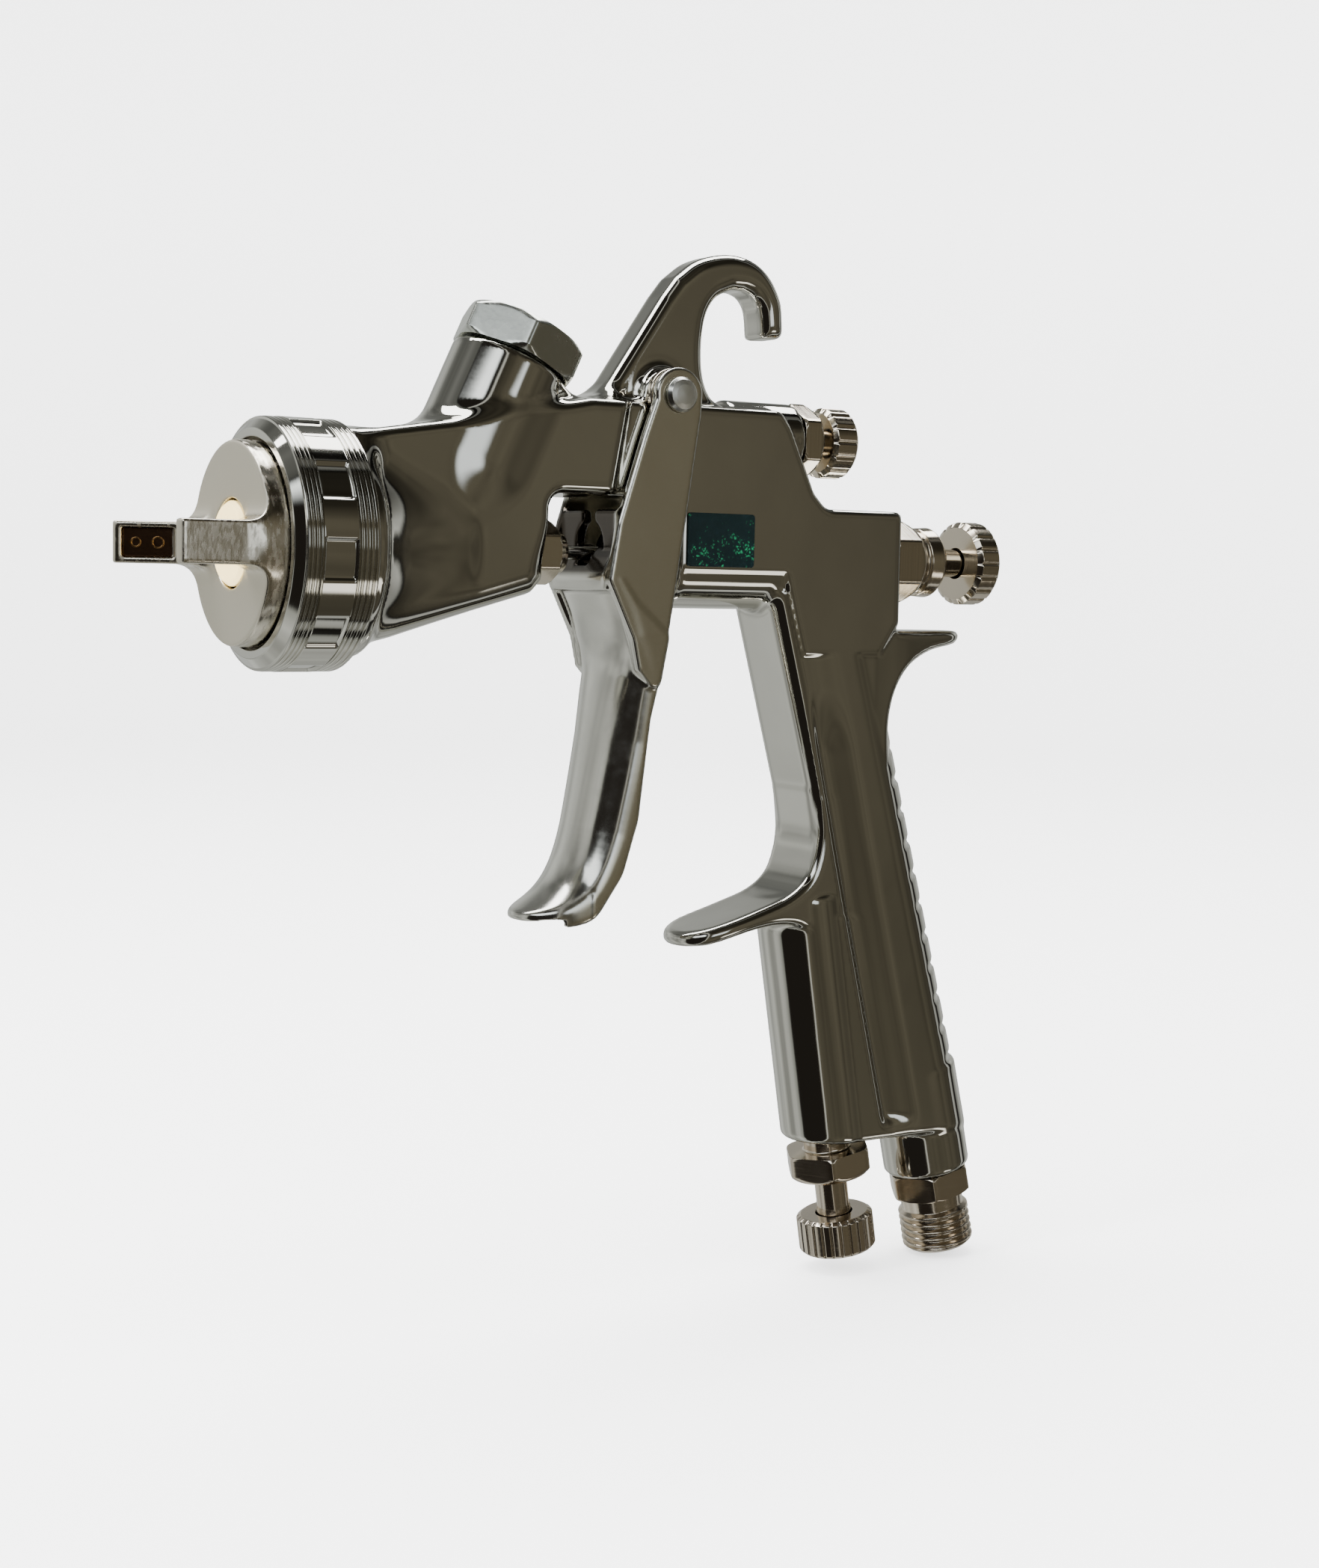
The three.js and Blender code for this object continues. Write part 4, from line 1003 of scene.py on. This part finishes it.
def plate(name, outline, frame_at, thick, bevel, material, body, replaces):
    """A thin plate with a bevelled front: an outline in a frame's (side, up) plane, thick along its axis."""
    at, along, side, up = frame_at
    middle = outline.mean(axis=0)
    rings = []
    for out, inset in ((0, 0), (thick - bevel, 0), (thick, bevel)):
        pull = outline - inset * np.sign(outline - middle)
        rings.append(at + out * along + pull[:, :1] * side + pull[:, 1:] * up)
    count = len(outline)
    faces = strips(len(rings), count, flip=True)
    faces += [tuple(reversed(range(count))), tuple(range(2 * count, 3 * count))]
    if np.dot(np.cross(side, up), along) < 0:
        faces = [f[::-1] for f in faces]
    piece = finish_piece(name, np.vstack(rings), faces, material, body, replaces)
    piece.data.set_sharp_from_angle(angle=math.radians(30))


def side_label():
    """A thin foil label with rounded corners and a bevelled edge."""
    outline = panel(76.8, 90.2, -1.8, 7.1, 0.6, 5)
    spot = vectors((0, -BLOCK_HALF - 0.15, 0), (0, -1, 0), (1, 0, 0), (0, 0, 1))
    plate("side-label", outline, spot, 0.2, 0.08, foil, "gun", ["side_label"])


cap_ring()
air_cap()
nozzle_end()
needle_line()
fluid_adjuster()
pattern_adjuster()
air_adjuster()
air_nipple()
fluid_inlet()
trigger()
side_label()
frame["nodes"]["air_distributor"].data.materials.clear()
frame["nodes"]["air_distributor"].data.materials.append(brass)


# ---- Stage ----
def camera():
    """From the front left, slightly below the hook."""
    yaw, dip, roll = math.radians(32.06), math.radians(4.85), math.radians(-1.15)
    forward = Vector((math.sin(yaw) * math.cos(dip), math.cos(yaw) * math.cos(dip), -math.sin(dip)))
    right = Vector((math.cos(yaw), -math.sin(yaw), 0))
    up = right.cross(forward)
    right, up = right * math.cos(roll) - up * math.sin(roll), up * math.cos(roll) + right * math.sin(roll)
    data = bpy.data.cameras.new("camera")
    data.lens = 53.99
    data.clip_start = 0.01
    made = bpy.data.objects.new("camera", data)
    turn = Matrix((right, up, -forward)).transposed().to_4x4()
    made.matrix_world = Matrix.Translation((-0.2237, -0.3381, -0.0497)) @ turn
    into_scene(made)
    bpy.context.scene.camera = made


def world():
    """White paper behind the gun, and a dark room with a lit window and a lamp behind the camera."""
    made = bpy.data.worlds.new("studio")
    made.use_nodes = True
    tree = made.node_tree
    background = tree.nodes["Background"]
    where = node(tree, "TexCoord").outputs["Generated"]
    split = node(tree, "SeparateXYZ", Vector=where)
    room = node(tree, "ValToRGB", Fac=remap(tree, split.outputs["Y"], -1, 1))
    stops = room.color_ramp.elements
    levels = [(0.0, 0.138, 0.124, 0.089), (0.18, 0.11, 0.099, 0.072), (0.34, 0.078, 0.071, 0.054),
              (0.36, 0.015, 0.014, 0.012), (0.38, 0.62, 0.63, 0.60), (0.43, 0.5, 0.5, 0.47),
              (0.45, 0.015, 0.014, 0.012), (0.50, 0.03, 0.028, 0.025), (0.53, 0.42, 0.43, 0.40),
              (0.62, 0.66, 0.67, 0.64), (0.8, 0.5, 0.51, 0.48), (1.0, 0.75, 0.77, 0.74)]
    while len(stops) < len(levels):
        stops.new(0.5)
    for stop, (at, r, g, b) in zip(stops, levels):
        stop.position = at
        stop.color = (r, g, b, 1)
    cloud = node(tree, "TexNoise", Vector=where, Scale=2.4, Detail=2.0).outputs["Fac"]
    color = room.outputs["Color"]
    uneven = remap(tree, cloud, 0.3, 0.7, 0.55, 1.4)
    dim_above = remap(tree, split.outputs["Z"], 0.34, 0.54, 1.0, 0.32)
    for level in (uneven, dim_above):
        scaled = node(tree, "VectorMath", operation="SCALE", Vector=color, Scale=level)
        color = scaled.outputs["Vector"]
    patches = (((-2, -0.42), (-2, 2), 0.05, (0.022, 0.019, 0.016, 1)),
               ((-0.41, -0.36), (-2, 2), 0.02, (0.75, 0.75, 0.70, 1)),
               ((-0.22, 0.26), (-0.02, 0.25), 0.05, (1.5, 1.6, 1.68, 1)),
               ((-0.88, -0.50), (0.33, 0.62), 0.04, (2.6, 2.75, 2.85, 1)),
               ((0.33, 0.60), (-0.62, -0.48), 0.03, (2.4, 2.3, 2.1, 1)))
    for x_range, z_range, soft, bright in patches:
        inside_patch = within(tree, split, {"X": x_range, "Y": (-2, 0), "Z": z_range}, soft)
        color = blend(tree, inside_patch, color, bright)
    tree.links.new(color, background.inputs["Color"])
    bpy.context.scene.world = made


def floor():
    """A round white sweep: the floor curves up into a wall all round the gun."""
    low = CAD_BOX[0][2] - 0.0005
    reach, bend, height, count = 1.5, 0.5, 2.4, 96
    profile = [(0.02, 0.0), (reach, 0.0)]
    turns = np.linspace(0.05, math.pi / 2, 16)
    profile += [(reach + bend * math.sin(t), bend - bend * math.cos(t)) for t in turns]
    profile += [(reach + bend, height)]
    angles = np.linspace(0, 2 * math.pi, count, endpoint=False)
    verts = [(out * math.cos(t), out * math.sin(t), low + z) for out, z in profile for t in angles]
    faces = strips(len(profile), count)
    faces.append(tuple(range(count)))
    mesh = bpy.data.meshes.new("floor")
    mesh.from_pydata(verts, [], faces)
    mesh.polygons.foreach_set("use_smooth", np.ones(len(faces), bool))
    white = bpy.data.materials.new("backdrop paper")
    white.use_nodes = True
    look = {"Base Color": (0.92, 0.92, 0.92, 1), "Roughness": 0.9, "Emission Color": (1, 1, 1, 1),
            "Emission Strength": 1.25}
    for key, value in look.items():
        white.node_tree.nodes["Principled BSDF"].inputs[key].default_value = value
    mesh.materials.append(white)
    made = bpy.data.objects.new("floor", mesh)
    into_scene(made)
    made.visible_glossy = False
    made.visible_shadow = False


def light(name, where, size, energy, mirrored=True):
    data = bpy.data.lights.new(name, "AREA")
    data.shape = "RECTANGLE"
    data.size, data.size_y = size
    data.energy = energy
    made = bpy.data.objects.new(name, data)
    made.location = where
    aim = Vector((-0.02, 0, -0.08)) - Vector(where)
    made.rotation_euler = aim.to_track_quat("-Z", "Y").to_euler()
    made.visible_glossy = mirrored
    into_scene(made)


camera()
world()
floor()
light("ceiling softbox", (-0.2, -0.1, 1.0), (0.9, 0.5), 16, mirrored=False)
light("left strip", (-0.9, -0.1, 0.3), (0.2, 0.7), 11, mirrored=False)
light("backdrop wash", (0.0, 0.35, 0.9), (1.6, 0.5), 22)
